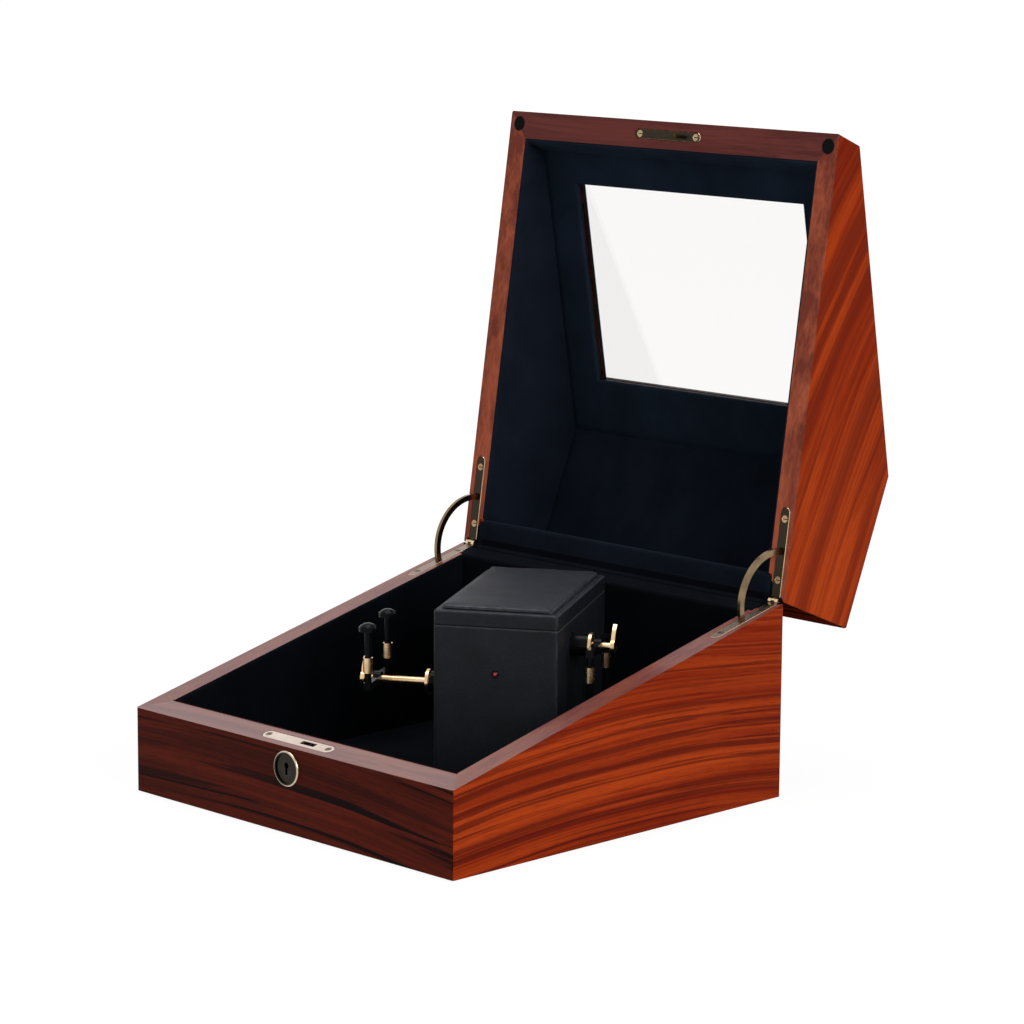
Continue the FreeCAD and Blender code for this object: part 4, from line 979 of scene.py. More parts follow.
@dataclass
class LidFrame:
    """The lid's hinge line and open angle, to go between the closed lid and the open one."""

    pivot: np.ndarray
    angle: float

    @classmethod
    def from_joints(cls, joints: list[dict]) -> LidFrame:
        """Reads the hinge from the joints of the part."""
        hinge = next(joint for joint in joints if joint["name"] == "lid_hinge")
        return cls(np.array(hinge["pos_m"][1:]), math.radians(hinge["range_deg"][1]))

    def turned(self, places: np.ndarray, angle: float) -> np.ndarray:
        """(y, z) places turned by an angle about the hinge line."""
        turn = np.array([[math.cos(angle), -math.sin(angle)], [math.sin(angle), math.cos(angle)]])
        return (places - self.pivot) @ turn.T + self.pivot

    def closed(self, places: np.ndarray) -> np.ndarray:
        """(y, z) places on the open lid, where they are when it is closed."""
        return self.turned(places, self.angle)

    def level(self) -> tuple[float, Triple]:
        """The turn about X, and the shift after it, that close the lid."""
        shift = self.closed(np.zeros(2))
        return self.angle, (0.0, float(shift[0]), float(shift[1]))

    def opened(self, points: np.ndarray) -> np.ndarray:
        """(x, y, z) points on the closed lid, where they are when it is open."""
        return np.concatenate([points[..., :1], self.turned(points[..., 1:], -self.angle)], axis=-1)


def mesh_points(mesh: bpy.types.Mesh) -> np.ndarray:
    """Reads the vertices of a mesh.

    Args:
        mesh: the mesh.

    Returns:
        Their places, one row each.
    """
    flat = np.empty(len(mesh.vertices) * 3, np.float32)
    mesh.vertices.foreach_get("co", flat)
    return flat.reshape(-1, 3).astype(float)


def node_points(frame: dict, node: str) -> np.ndarray:
    """Every vertex of a CAD node, one row each."""
    return mesh_points(frame["nodes"][node].data)


def paint(frame: dict, node: str, material: bpy.types.Material) -> None:
    """Gives a CAD node one material.

    Args:
        frame: the loaded part.
        node: the node's name.
        material: its material.
    """
    slots = frame["nodes"][node].data.materials
    slots.clear()
    slots.append(material)
    LOG.info("%s: %s", node, material.name)


def settle(piece: bpy.types.Object, material: bpy.types.Material, body: str,
           node: str | None = None) -> None:
    """Gives a new piece its material, body and slot, and reports it.

    Args:
        piece: the new piece.
        material: its material.
        body: the body that it rides on.
        node: the CAD node that it stands for, or None.
    """
    piece.data.materials.append(material)
    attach(piece, body)
    if node:
        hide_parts(node)
    LOG.info("%s: %d faces on %s", piece.name, len(piece.data.polygons), body)


@dataclass
class WallOutline:
    """A lining wall seen from the side: its front and back edges, and any ridge between them."""

    front_low: np.ndarray
    front_high: np.ndarray
    back_low: np.ndarray
    back_high: np.ndarray
    ridge: np.ndarray | None

    @classmethod
    def from_places(cls, places: np.ndarray) -> WallOutline:
        """Sorts the corners of a four or five-sided wall.

        Args:
            places: (y, z) places of its vertices, in any order.

        Returns:
            The outline.
        """
        corners = np.unique(np.round(places, CORNER_DIGITS), axis=0)
        corners = corners[np.argsort(corners[:, 0])]
        front = corners[:2][np.argsort(corners[:2, 1])]
        back = corners[-2:][np.argsort(corners[-2:, 1])]
        ridge = corners[2] if len(corners) == 5 else None
        return cls(front[0], front[1], back[0], back[1], ridge)

    def upper(self) -> np.ndarray:
        """The corners along its upper edge, from front to back."""
        middle = [] if self.ridge is None else [self.ridge]
        return np.array([self.front_high, *middle, self.back_high])

    def rim(self) -> tuple[np.ndarray, np.ndarray]:
        """The two ends of the edge along the rim: the upper edge in the base, the lower one in the lid."""
        return (self.front_high, self.back_high) if self.ridge is None else (self.front_low, self.back_low)

    def rim_height(self, y: float) -> float:
        """Height of the rim's line at y."""
        (front_y, front_z), (back_y, back_z) = self.rim()
        return float(front_z + (y - front_y) * (back_z - front_z) / (back_y - front_y))

    def around(self) -> np.ndarray:
        """Goes round the wall.

        Returns:
            Every corner in turn, starting with the edge along the rim.
        """
        front, back = self.rim()
        if self.ridge is None:
            return np.array([front, back, self.back_low, self.front_low])
        return np.array([front, back, self.back_high, self.ridge, self.front_high])


@dataclass
class VelvetLining:
    """The velvet that lines the base and the lid, one cloth for each lining board; the base's velvet is a
    darker copy as painted shade, the window's a lighter copy as painted light.
    """

    frame: dict
    lid: LidFrame
    felt: bpy.types.Material
    base_velvet_shaded: bpy.types.Material
    lid_velvet: bpy.types.Material
    window_velvet_lit: bpy.types.Material
    roll: float = 0.0016
    tuck: float = 0.00025
    thickness: float = 0.002
    flap_thickness: float = 0.0015
    inner_corner: float = 0.0006
    hem_gap: float = 0.0004
    side_gap: float = 0.0003
    narrowing: float = 0.0006
    under_ridge: float = 0.001
    step: float = 0.006
    unevenness: float = 0.00012
    ribbon_radius: float = 0.00018
    ribbon_thickness: float = 0.00014
    ribbon_reach: float = 0.0052
    ribbon_rows: int = 5
    ribbon_bends: int = 9

    def dress(self, piece: bpy.types.Object, body: str, node: str, flat: tuple[float, float], board: str,
              area: float) -> None:
        """Gives a cloth its material, its body and the node that it stands for.

        Args:
            piece: the cloth.
            body: the body that it rides on.
            node: the lining board's node.
            flat: width and length of the cut; not used.
            board: what the cloth is stretched on; not used.
            area: area of the cut; not used.
        """
        # Painted shade and light: the darker velvet copy in the base, the lighter one round the window.
        velvet = self.lid_velvet if body == "lid" else self.base_velvet_shaded
        if node == "lid_lining_window":
            velvet = self.window_velvet_lit
        settle(piece, velvet, body, node)

    def carry(self, node: str, board: str, corners: np.ndarray, radii: list[float], facing: Facing,
              half_width: float, rolls: tuple[float, float], flap: tuple[float, float] | None = None,
              hole: Triple | None = None) -> None:
        """Lays a cloth whose shown side is a profile in the (y, z) plane carried across the box.

        Along the path a and across x, the shown place is P(a) less the normal times the thickness that the
        rolled edges leave out, and the backing is P(a) less the normal times the whole thickness.

        Args:
            node: the lining board's node, on the lid in its closed place.
            board: what the cloth is stretched on.
            corners: (y, z) corners of the shown profile.
            radii: the radius at each inner corner.
            facing: the side of the path that shows.
            half_width: how far the cloth reaches to each side.
            rolls: radius of the rolled edge at the start and at the end of the path.
            flap: length along the path and half the width of a thinner flap at the start, or None.
            hole: start and end along the path and half the width of an opening, or None.
        """
        body = node.split("_")[0]
        path = rounded_path(corners, radii)
        run = np.concatenate([[0.0], np.cumsum(np.linalg.norm(np.diff(path, axis=0), axis=1))])
        length = float(run[-1])
        a_stops = [0.0, length] + ([hole[0], hole[1]] if hole else [])
        x_stops = [-half_width, half_width] + ([-hole[2], hole[2]] if hole else [])
        hole_rolls = [self.roll, self.roll] if hole else []
        lengthwise = [edge_lines(a_stops, [*rolls, *hole_rolls], self.step), run[1:-1]]
        if flap:
            lengthwise.append(np.array([flap[0], flap[0] + self.narrowing]))
        along = np.unique(np.round(np.concatenate(lengthwise), LINE_DIGITS))
        across = edge_lines(x_stops, [self.tuck, self.tuck, *hole_rolls], self.step)
        place = np.stack([np.interp(along, run, path[:, i]) for i in (0, 1)], axis=-1)
        ahead = np.stack([np.gradient(np.interp(along, run, path[:, i]), along) for i in (0, 1)], axis=-1)
        ahead /= np.linalg.norm(ahead, axis=1, keepdims=True)
        normal = facing.value * np.stack([-ahead[:, 1], ahead[:, 0]], axis=-1)
        on_flap = np.zeros_like(along)
        widest = half_width
        if flap:
            on_flap = 1.0 - np.clip((along - flap[0]) / self.narrowing, 0.0, 1.0)
            widest = flap[1]
        widths = half_width + on_flap * (widest - half_width)
        depths = self.thickness + on_flap * (self.flap_thickness - self.thickness)
        a, x = np.meshgrid(along, across, indexing="ij")
        x = x * widths[:, None] / half_width
        fullness = np.minimum(rolled(a, rolls[0]), rolled(length - a, rolls[1]))
        fullness = np.minimum(fullness, rolled(widths[:, None] - np.abs(x), self.tuck))
        area = float(np.sum((widths[1:] + widths[:-1]) * np.diff(along)))
        keep = None
        if hole:
            start, end, half = hole
            outside = np.hypot(np.maximum(np.maximum(start - a, a - end), 0.0),
                               np.maximum(np.abs(x) - half, 0.0))
            fullness = np.minimum(fullness, rolled(outside, self.roll))
            mid_a = (along[1:] + along[:-1]) / 2
            mid_x = (across[1:] + across[:-1]) / 2
            keep = ~(((mid_a > start) & (mid_a < end))[:, None] & (np.abs(mid_x) < half)[None, :])
            area -= (end - start) * 2 * half
        whole = np.broadcast_to(depths[:, None], x.shape)
        sunk = whole * (1.0 - fullness) + np.abs(brushed(a, x, self.unevenness)) * fullness

        def spread(depth: np.ndarray) -> np.ndarray:
            """Places below the shown profile.

            Args:
                depth: how deep each one lies.

            Returns:
                The places, by row and column.
            """
            places = place[:, None, :] - normal[:, None, :] * depth[..., None]
            points = np.concatenate([x[..., None], places], axis=-1)
            return self.lid.opened(points) if body == "lid" else points
        piece = closed_slab(node.replace("lining", "cloth"), spread(sunk), spread(whole), keep)
        self.dress(piece, body, node, (2 * widest, length), board, area)

    def wall(self, name: str, outline: WallOutline, shown_x: float, backing_x: float,
             opened: bool) -> bpy.types.Object:
        """A cloth on a side wall, as a curtain of upright lines between the outline's lower and upper edges.

        Args:
            name: the piece's name.
            outline: the wall's outline.
            shown_x: where its shown side is.
            backing_x: where its board is.
            opened: whether the outline is the closed lid's and has to be opened.

        Returns:
            The piece.
        """
        upper = outline.upper()
        lines = edge_lines(list(upper[:, 0]), [self.tuck] * len(upper), self.step)
        low = np.interp(lines, [outline.front_low[0], outline.back_low[0]],
                        [outline.front_low[1], outline.back_low[1]])
        high = np.interp(lines, upper[:, 0], upper[:, 1])
        tall = float(np.max(high - low))
        rolls = [self.roll, self.roll, self.tuck, self.tuck]
        share = edge_lines([0.0, tall, 0.0, tall], rolls, self.step) / tall
        y, t = np.meshgrid(lines, share, indexing="ij")
        z = low[:, None] + (high - low)[:, None] * t
        corners = outline.around()
        edges = np.roll(corners, -1, axis=0) - corners
        edges = edges / np.linalg.norm(edges, axis=1, keepdims=True)
        apart = np.stack([y, z], axis=-1)[..., None, :] - corners
        border = np.abs(edges[:, 0] * apart[..., 1] - edges[:, 1] * apart[..., 0])
        radii = np.array([self.roll] + [self.tuck] * (len(corners) - 1))
        fullness = rolled(border, radii).min(axis=-1)
        inward = math.copysign(1.0, shown_x - backing_x)
        bulge = abs(shown_x - backing_x) * fullness - np.abs(brushed(y, z, self.unevenness)) * fullness
        shown = np.stack([backing_x + inward * bulge, y, z], axis=-1)
        backing = np.stack([np.full_like(y, backing_x), y, z], axis=-1)
        if opened:
            shown = self.lid.opened(shown)
            backing = self.lid.opened(backing)
        return closed_slab(name, shown, backing)

    def side_walls(self, prefix: str, node: str, outline: WallOutline) -> float:
        """The left and right cloths of the base or the lid.

        Args:
            prefix: "base" or "lid", the body that they ride on.
            node: the node that they stand for.
            outline: the walls' outline.

        Returns:
            How far out the walls' boards are.
        """
        reach = np.abs(node_points(self.frame, node)[:, 0])
        around = outline.around()
        ahead = np.roll(around, -1, axis=0)
        area = abs(float(np.sum(around[:, 0] * ahead[:, 1] - ahead[:, 0] * around[:, 1]))) / 2
        size = around.max(axis=0) - around.min(axis=0)
        for side, sign in (("left", -1.0), ("right", 1.0)):
            piece = self.wall(f"{prefix}_cloth_{side}", outline, sign * reach.min(), sign * reach.max(),
                              prefix == "lid")
            self.dress(piece, prefix, node, (float(size[0]), float(size[1])), f"{prefix}_{side}_board", area)
        return float(reach.max())

    def flap(self, corners: np.ndarray, node: str) -> tuple[float, float]:
        """The flap on a profile's first leg, clear of the boards beside it.

        Args:
            corners: (y, z) corners of the profile.
            node: the lining board's node.

        Returns:
            The flap's length and half its width.
        """
        bend = self.thickness + self.inner_corner
        half = float(np.abs(node_points(self.frame, node)[:, 0]).max())
        return float(np.linalg.norm(corners[1] - corners[0])) - bend, half - self.side_gap

    def line_base(self) -> None:
        """The cloths in the base: floor, front, back with its flap over the rim, and sides."""
        outline = WallOutline.from_places(node_points(self.frame, "base_lining_sides")[:, 1:])
        half = self.side_walls("base", "base_lining_sides", outline)
        low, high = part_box("base_lining_floor")
        floor = np.array([[low.y, high.z], [high.y, high.z]])
        self.carry("base_lining_floor", "base_bottom_panel", floor, [], Facing.LEFT, half,
                   (self.tuck, self.tuck))
        low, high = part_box("base_lining_front")
        front = np.array([[high.y, outline.rim_height(high.y)], [high.y, low.z]])
        self.carry("base_lining_front", "base_front_board", front, [], Facing.LEFT, half,
                   (self.roll, self.tuck))
        low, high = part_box("base_lining_back")
        end = high.y - self.hem_gap
        back = np.array([[end, outline.rim_height(end)], [low.y, outline.rim_height(low.y)], [low.y, low.z]])
        self.carry("base_lining_back", "base_back_board", back, [self.thickness + self.inner_corner],
                   Facing.RIGHT, half, (self.roll, self.tuck), self.flap(back, "base_lining_back"))

    def line_lid(self) -> None:
        """The cloths in the lid: sides, back and top with the flap over the rim, and round the window."""
        sides = node_points(self.frame, "lid_lining_sides")
        outline = WallOutline.from_places(self.lid.closed(sides[:, 1:]))
        half = self.side_walls("lid", "lid_lining_sides", outline)
        end = self.lid.closed(node_points(self.frame, "lid_lining_back")[:, 1:])[:, 0].max() - self.hem_gap
        start = np.array([end, outline.rim_height(end)])
        past = outline.ridge + self.under_ridge * np.array([-1.0, 0.0])
        back = np.array([start, outline.back_low, outline.back_high, past])
        radii = [self.thickness + self.inner_corner, self.inner_corner]
        self.carry("lid_lining_back", "lid_top_panel", back, radii, Facing.LEFT, half, (self.roll, self.tuck),
                   self.flap(back, "lid_lining_back"))
        bead = node_points(self.frame, "glazing_bead")
        down = outline.front_high - outline.ridge
        down /= np.linalg.norm(down)
        along = (self.lid.closed(bead[:, 1:]) - outline.ridge) @ down
        along = np.unique(np.round(along, CORNER_DIGITS))
        window = np.array([outline.ridge, outline.front_high, outline.front_low])
        hole = (float(along[1]), float(along[-2]), float(np.abs(bead[:, 0]).min()))
        self.carry("lid_lining_window", "lid_window_panel", window, [self.inner_corner], Facing.LEFT, half,
                   (self.tuck, self.roll), hole=hole)

    def line_hinge(self) -> None:
        """The velvet ribbon along the hinge: flat on each rim, with an arc about the hinge line between."""
        front, back = WallOutline.from_places(node_points(self.frame, "base_lining_sides")[:, 1:]).rim()
        ahead = (back - front) / np.linalg.norm(back - front)
        up = np.array([-ahead[1], ahead[0]])
        half = float(np.abs(node_points(self.frame, "base_lining_back")[:, 0]).max()) - self.side_gap
        open_arc = math.pi - self.lid.angle
        on_rim = np.linspace(self.ribbon_reach, 0.0, self.ribbon_rows)
        bend = np.linspace(0.0, open_arc, self.ribbon_bends)[1:-1]
        turn = np.concatenate([np.zeros_like(on_rim), bend, np.full_like(on_rim, open_arc)])
        run = np.concatenate([-on_rim, np.zeros_like(bend), on_rim[::-1]])
        out = np.outer(np.sin(turn), ahead) - np.outer(np.cos(turn), up)
        onward = np.outer(np.cos(turn), ahead) + np.outer(np.sin(turn), up)
        across = np.linspace(-half, half, 2 * int(half / self.step) + 1)
        rows, columns = np.meshgrid(np.arange(len(turn)), np.arange(len(across)), indexing="ij")
        inner = (rows > 0) & (rows < len(turn) - 1) & (columns > 0) & (columns < len(across) - 1)

        def layer(side: float) -> np.ndarray:
            """Places on one side of the ribbon, which meets the other along its border.

            Args:
                side: -1 or 1.

            Returns:
                The places, by row and column.
            """
            radius = self.ribbon_radius + side * np.where(inner, self.ribbon_thickness / 2, 0.0)
            middle = self.lid.pivot + run[:, None] * onward
            place = middle[:, None, :] + radius[..., None] * out[:, None, :]
            return np.concatenate([across[columns][..., None], place], axis=-1)
        piece = closed_slab("hinge_ribbon", layer(-1.0), layer(1.0))
        piece.data.materials.append(self.base_velvet_shaded)
        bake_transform(piece)
        LOG.info("%s: %d faces", piece.name, len(piece.data.polygons))

    def line_underside(self) -> None:
        """The felt under the base, as a sheet with rolled edges that shows downwards."""
        low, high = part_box("base_felt")
        rolls = [self.roll, self.roll]
        across = edge_lines([low.x, high.x], rolls, 2 * self.step)
        along = edge_lines([low.y, high.y], rolls, 2 * self.step)
        y, x = np.meshgrid(along, across, indexing="ij")
        border = np.minimum(np.minimum(x - low.x, high.x - x), np.minimum(y - low.y, high.y - y))
        shown = np.stack([x, y, high.z - (high.z - low.z) * rolled(border, self.roll)], axis=-1)
        backing = np.stack([x, y, np.full_like(x, high.z)], axis=-1)
        piece = closed_slab("base_felt_sheet", shown, backing)
        settle(piece, self.felt, "base", "base_felt")


@dataclass
class DriveUnit:
    """The leather-covered drive unit: its shell and cover, and the cushion and a black lamp ring, painted
    shade round the lens, added here.
    """

    frame: dict
    effects: Effects
    leather: Leather
    cushion_leather_lit: Leather
    # Black finish of the ring, which stands for the shade in the hole round the lens.
    ring: bpy.types.Material
    lens: Lens
    corner: float = 0.0040
    edge_height: float = 0.0030
    edge_roll: float = 0.0016
    sewn_share: float = 0.5
    crown: float = 0.0011
    swell: float = 0.0004
    pucker: float = 0.00006
    pucker_pitch: float = 0.0085
    pucker_reach: float = 0.0045
    ring_radius: float = 0.00205
    ring_wire: float = 0.00045
    ring_steps: int = 49
    wire_steps: int = 17
    ring_inset: float = 0.0006
    lens_tip: float = 0.0004
    cell: float = 0.0016
    cloth_frames: int = 20
    cloth_pressure: float = 4.0
    cloth_quality: int = 6

    def axes(self) -> tuple[np.ndarray, np.ndarray]:
        """Reads the drive unit's own two level directions.

        Returns:
            The way along its spindles, and the way from its front to its back.
        """
        spin = next(joint for joint in self.frame["joints"] if joint["name"] == "left_spin")
        across = np.array(spin["axis"][:2])
        return across, np.array([-across[1], across[0]])

    def cover_up(self, finish: Leather, points: np.ndarray, low: float, high: float,
                 shadow_line_height: float) -> bpy.types.Material:
        """Leather for a box of the drive unit.

        Args:
            finish: the leather.
            points: places on the box.
            low: height of the box's lower edges.
            high: height of its upper edges.
            shadow_line_height: height along which a dark line is painted as the shadow of a joint.

        Returns:
            The material, with a painted highlight along that box's edges.
        """
        across, back = self.axes()
        square = np.stack([points[:, :2] @ across, points[:, :2] @ back], axis=-1)
        top, bottom = square.max(axis=0), square.min(axis=0)
        centre = (*((top + bottom) / 2).tolist(), (low + high) / 2)
        half = (*((top - bottom) / 2).tolist(), (high - low) / 2)
        return finish.build(self.effects, -math.atan2(across[1], across[0]), centre, half, shadow_line_height)

    def cushion_grids(self) -> tuple[np.ndarray, np.ndarray]:
        """The cushion's shown and lower grids.

        A square grid is squeezed into round corners, where a point q of a corner square becomes
        (qx sqrt(1 - qy^2 / 2), qy sqrt(1 - qx^2 / 2)). The top rises in a quarter circle from the seam, over
        a low crown, with puckers that fade away from the seam.

        Returns:
            The shown grid and the lower grid.
        """
        points = node_points(self.frame, "drive_pad")
        across, back = self.axes()
        centre = (points[:, :2].max(axis=0) + points[:, :2].min(axis=0)) / 2
        half_x = float(np.abs((points[:, :2] - centre) @ across).max())
        half_y = float(np.abs((points[:, :2] - centre) @ back).max())
        base = float(points[:, 2].min())
        rolls = [self.edge_roll, self.edge_roll]
        lines_x = edge_lines([-half_x, half_x], rolls, self.cell)
        lines_y = edge_lines([-half_y, half_y], rolls, self.cell)
        y, x = np.meshgrid(lines_y, lines_x, indexing="ij")
        qx = np.clip((np.abs(x) - half_x + self.corner) / self.corner, 0.0, 1.0)
        qy = np.clip((np.abs(y) - half_y + self.corner) / self.corner, 0.0, 1.0)
        rx = qx * np.sqrt(1 - qy ** 2 / 2)
        ry = qy * np.sqrt(1 - qx ** 2 / 2)
        px = np.sign(x) * (np.abs(x) + (rx - qx) * self.corner)
        py = np.sign(y) * (np.abs(y) + (ry - qy) * self.corner)
        seam = np.minimum(half_x - np.abs(px), half_y - np.abs(py))
        in_corner = (qx > 0) & (qy > 0)
        seam = np.where(in_corner, self.corner * (1 - np.hypot(rx, ry)), seam)
        seam = np.clip(seam, 0.0, None)
        crown = self.crown * (1 - (px / half_x) ** 2) * (1 - (py / half_y) ** 2)
        ripple = np.sin(2 * math.pi * (px + py) / self.pucker_pitch) * np.exp(-seam / self.pucker_reach)
        height = rolled(seam, self.edge_roll) * (self.edge_height + self.pucker * ripple) + crown

        def stand(up: np.ndarray) -> np.ndarray:
            """Places that high above the cushion's foot."""
            level = centre + px[..., None] * across + py[..., None] * back
            return np.concatenate([level, base + up[..., None]], axis=-1)
        return stand(height), stand(np.zeros_like(height))

    def simulate(self, piece: bpy.types.Object, held: np.ndarray) -> None:
        """Swells the cushion's cover with a short cloth simulation under pressure, and keeps the result.

        Args:
            piece: the cushion.
            held: which vertices are sewn down.
        """
        group = piece.vertex_groups.new(name="sewn_down")
        group.add(np.flatnonzero(held).tolist(), 1.0, "REPLACE")
        rest = mesh_points(piece.data)
        cloth = piece.modifiers.new("cover", "CLOTH")
        cloth.settings.vertex_group_mass = group.name
        cloth.settings.use_pressure = True
        cloth.settings.uniform_pressure_force = self.cloth_pressure
        cloth.settings.effector_weights.gravity = 0.0
        cloth.settings.quality = self.cloth_quality
        cloth.point_cache.frame_end = self.cloth_frames
        scene = bpy.context.scene
        for step in range(1, self.cloth_frames + 1):
            scene.frame_set(step)
        posed = piece.evaluated_get(bpy.context.evaluated_depsgraph_get())
        moved = mesh_points(posed.data)
        piece.modifiers.remove(cloth)
        piece.vertex_groups.remove(group)
        scene.frame_set(1)
        shift = moved - rest
        reach = np.linalg.norm(shift, axis=1, keepdims=True)
        shift *= np.minimum(1.0, self.swell / np.maximum(reach, SLIVER))
        piece.data.vertices.foreach_set("co", (rest + shift).ravel())
        piece.data.update()
        LOG.info("%s: swelled by up to %.2f mm", piece.name, float(reach.max()) * 1000)

    def make_cushion(self) -> None:
        """The padded leather top of the cover."""
        piece = closed_slab("drive_cushion", *self.cushion_grids())
        heights = mesh_points(piece.data)[:, 2]
        self.simulate(piece, heights < heights.min() + self.edge_height * self.sewn_share)
        points = node_points(self.frame, "drive_pad")
        foot = points[:, 2].min()
        # The cushion's leather is a lighter, bluer copy, painted with the top light and its sheen; a painted
        # shadow line runs along its foot.
        leather = self.cover_up(self.cushion_leather_lit, points, foot, foot + self.edge_height, foot)
        settle(piece, leather, "base", "drive_pad")

    def make_lamp(self) -> None:
        """The lamp's lens, and a thin black ring round it as painted shade in its hole: a small circle
        carried round a larger one.
        """
        across, back = self.axes()
        points = node_points(self.frame, "led_lens")
        reach = points[:, :2] @ back
        tip = points[reach < reach.min() + self.lens_tip]
        level = (points[:, :2] @ across).mean() * across + (reach.min() + self.ring_inset) * back
        centre = np.append(level, (tip[:, 2].max() + tip[:, 2].min()) / 2)
        around, section = np.meshgrid(np.linspace(0, 2 * np.pi, self.ring_steps),
                                      np.linspace(0, 2 * np.pi, self.wire_steps), indexing="ij")
        radius = self.ring_radius + self.ring_wire * np.cos(section)
        out = -np.append(back, 0.0)
        sideways = np.append(across, 0.0)
        ring = (centre + (radius * np.cos(around))[..., None] * sideways +
                (radius * np.sin(around))[..., None] * np.array([0.0, 0.0, 1.0]) +
                (self.ring_wire * np.sin(section))[..., None] * out)
        piece = mesh_object("lens_hole_shade_ring", ring.reshape(-1, 3), grid_faces(self.ring_steps, self.wire_steps))
        settle(piece, self.ring, "base")
        paint(self.frame, "led_lens", self.lens.build(self.effects, (Vector(centre), Vector(out))))

    def dress(self) -> None:
        """Builds the added pieces and covers the shell and cover in leather."""
        shell = node_points(self.frame, "drive_shell")
        cover = node_points(self.frame, "drive_cover")
        foot, joint, top = shell[:, 2].min(), shell[:, 2].max(), cover[:, 2].max()
        # Painted shadow lines along the shell's foot and along the joint under the cover.
        paint(self.frame, "drive_shell", self.cover_up(self.leather, shell, foot, joint, foot))
        paint(self.frame, "drive_cover", self.cover_up(self.leather, cover, foot, top, joint))
        self.make_cushion()
        self.make_lamp()


@dataclass
class RimNormals:
    """The way the rims of the base and of the open lid look, and the window panel of the open lid."""

    base: Vector
    lid: Vector
    panel: Vector
    lid_back: Vector

    @classmethod
    def from_frame(cls, frame: dict, lid: LidFrame) -> RimNormals:
        """Reads the slopes from the side linings.

        Args:
            frame: the loaded part.
            lid: the lid's hinge line and open angle.

        Returns:
            The four ways.
        """
        front, back = WallOutline.from_places(node_points(frame, "base_lining_sides")[:, 1:]).rim()
        up = Vector((0.0, front[1] - back[1], back[0] - front[0])).normalized()
        wall = WallOutline.from_places(lid.closed(node_points(frame, "lid_lining_sides")[:, 1:]))
        run = wall.ridge - wall.front_high
        opening = Matrix.Rotation(-lid.angle, 3, "X")
        return cls(up, opening @ -up, opening @ Vector((0.0, -run[1], run[0])).normalized(),
                   opening @ Vector((0.0, 1.0, 0.0)))


@dataclass
class WoodCase:
    """The boards and panels of the base and the lid, each with grain of its own; the front and back boards
    take a darker copy of the wood as painted shade.
    """

    frame: dict
    effects: Effects
    lid: LidFrame
    rims: RimNormals
    side: Rosewood = Rosewood("rosewood_side", rim_coat=0.7)
    # Painted shade: the same rosewood, darkened for the front and back boards, which face away from the
    # light.
    front: Rosewood = Rosewood("rosewood_front_shaded", light=(0.140, 0.0170, 0.0064), dark=(0.046, 0.0046, 0.0022),
                               vein=(0.0060, 0.0012, 0.0010), vein_share=1.0, vein_pitch=190.0, arch=0.30,
                               arch_centre=-0.06)
    lid_side: Rosewood = Rosewood("rosewood_lid_side", vein=(0.130, 0.0110, 0.0022), vein_share=0.8,
                                  vein_pitch=85.0, rim=(0.175, 0.030, 0.015), rim_light=(0.440, 0.098, 0.042),
                                  rim_coat=0.2, arch=-0.45, arch_centre=0.16, waviness=0.014, tone_slope=1.6)
    panel: Rosewood = Rosewood("rosewood_panel", light=(0.270, 0.034, 0.0056), dark=(0.105, 0.0072, 0.0015),
                               vein=(0.032, 0.0022, 0.0010), arch=0.0)
    front_rim: Colour = (0.090, 0.0155, 0.012)
    front_rim_light: Colour = (0.155, 0.031, 0.024)
    front_rim_coat: float = 0.2
    black_rim: Colour = (0.0030, 0.0036, 0.0055)
    bead: Rosewood = Rosewood("rosewood_bead", light=(0.014, 0.008, 0.007), dark=(0.006, 0.004, 0.004),
                              vein=(0.003, 0.002, 0.002), arch=0.0)
    log_step: Triple = (0.37, 0.11, 0.23)

    def dress(self) -> None:
        """Gives every board its material, cut from its own place in the log."""
        black = {"rim": self.black_rim, "rim_light": self.black_rim, "rim_coat": 0.0}
        # Painted shade: the lid's front takes the front's darkened wood.
        lid_front = replace(self.front, rim=self.front_rim, rim_light=self.front_rim_light,
                            rim_coat=self.front_rim_coat)
        edged = {"rim_kind": RimKind.EDGES, **black}
        # The back boards also keep the front's darkened wood as painted shade.
        back = replace(self.front, rim_kind=RimKind.HINGE, hinge=(0.0, *self.lid.pivot), specular=0.0,
                       **black)
        outwards = Vector((0.0, 1.0, 0.0))
        base, lid = self.rims.base, self.rims.lid
        rows = [
            ("base_front_board", self.front, Grain.ACROSS, base),
            ("base_back_board", back, Grain.ACROSS, outwards),
            ("base_right_board", self.side, Grain.BACKWARDS, base),
            ("base_left_board", self.side, Grain.BACKWARDS, base),
            ("base_bottom_panel", self.panel, Grain.ACROSS, base),
            ("lid_front_board", lid_front, Grain.ACROSS, lid),
            ("lid_back_board", back, Grain.ACROSS, self.rims.lid_back),
            ("lid_right_board", self.lid_side, Grain.BACKWARDS, lid),
            ("lid_left_board", self.lid_side, Grain.BACKWARDS, lid),
            ("lid_top_panel", self.panel, Grain.ACROSS, lid),
            ("lid_window_panel", replace(self.panel, **edged), Grain.ACROSS, self.rims.panel),
            ("glazing_bead", replace(self.bead, **edged), Grain.ACROSS, self.rims.panel),
        ]
        for index, (node, finish, grain, rim_normal) in enumerate(rows):
            offset = tuple(step * index for step in self.log_step)
            level = (0.0, ORIGIN) if node.startswith("base") else self.lid.level()
            material = finish.build(self.effects, grain, offset, level, rim_normal)
            material.name = f"rosewood_{node}"
            paint(self.frame, node, material)


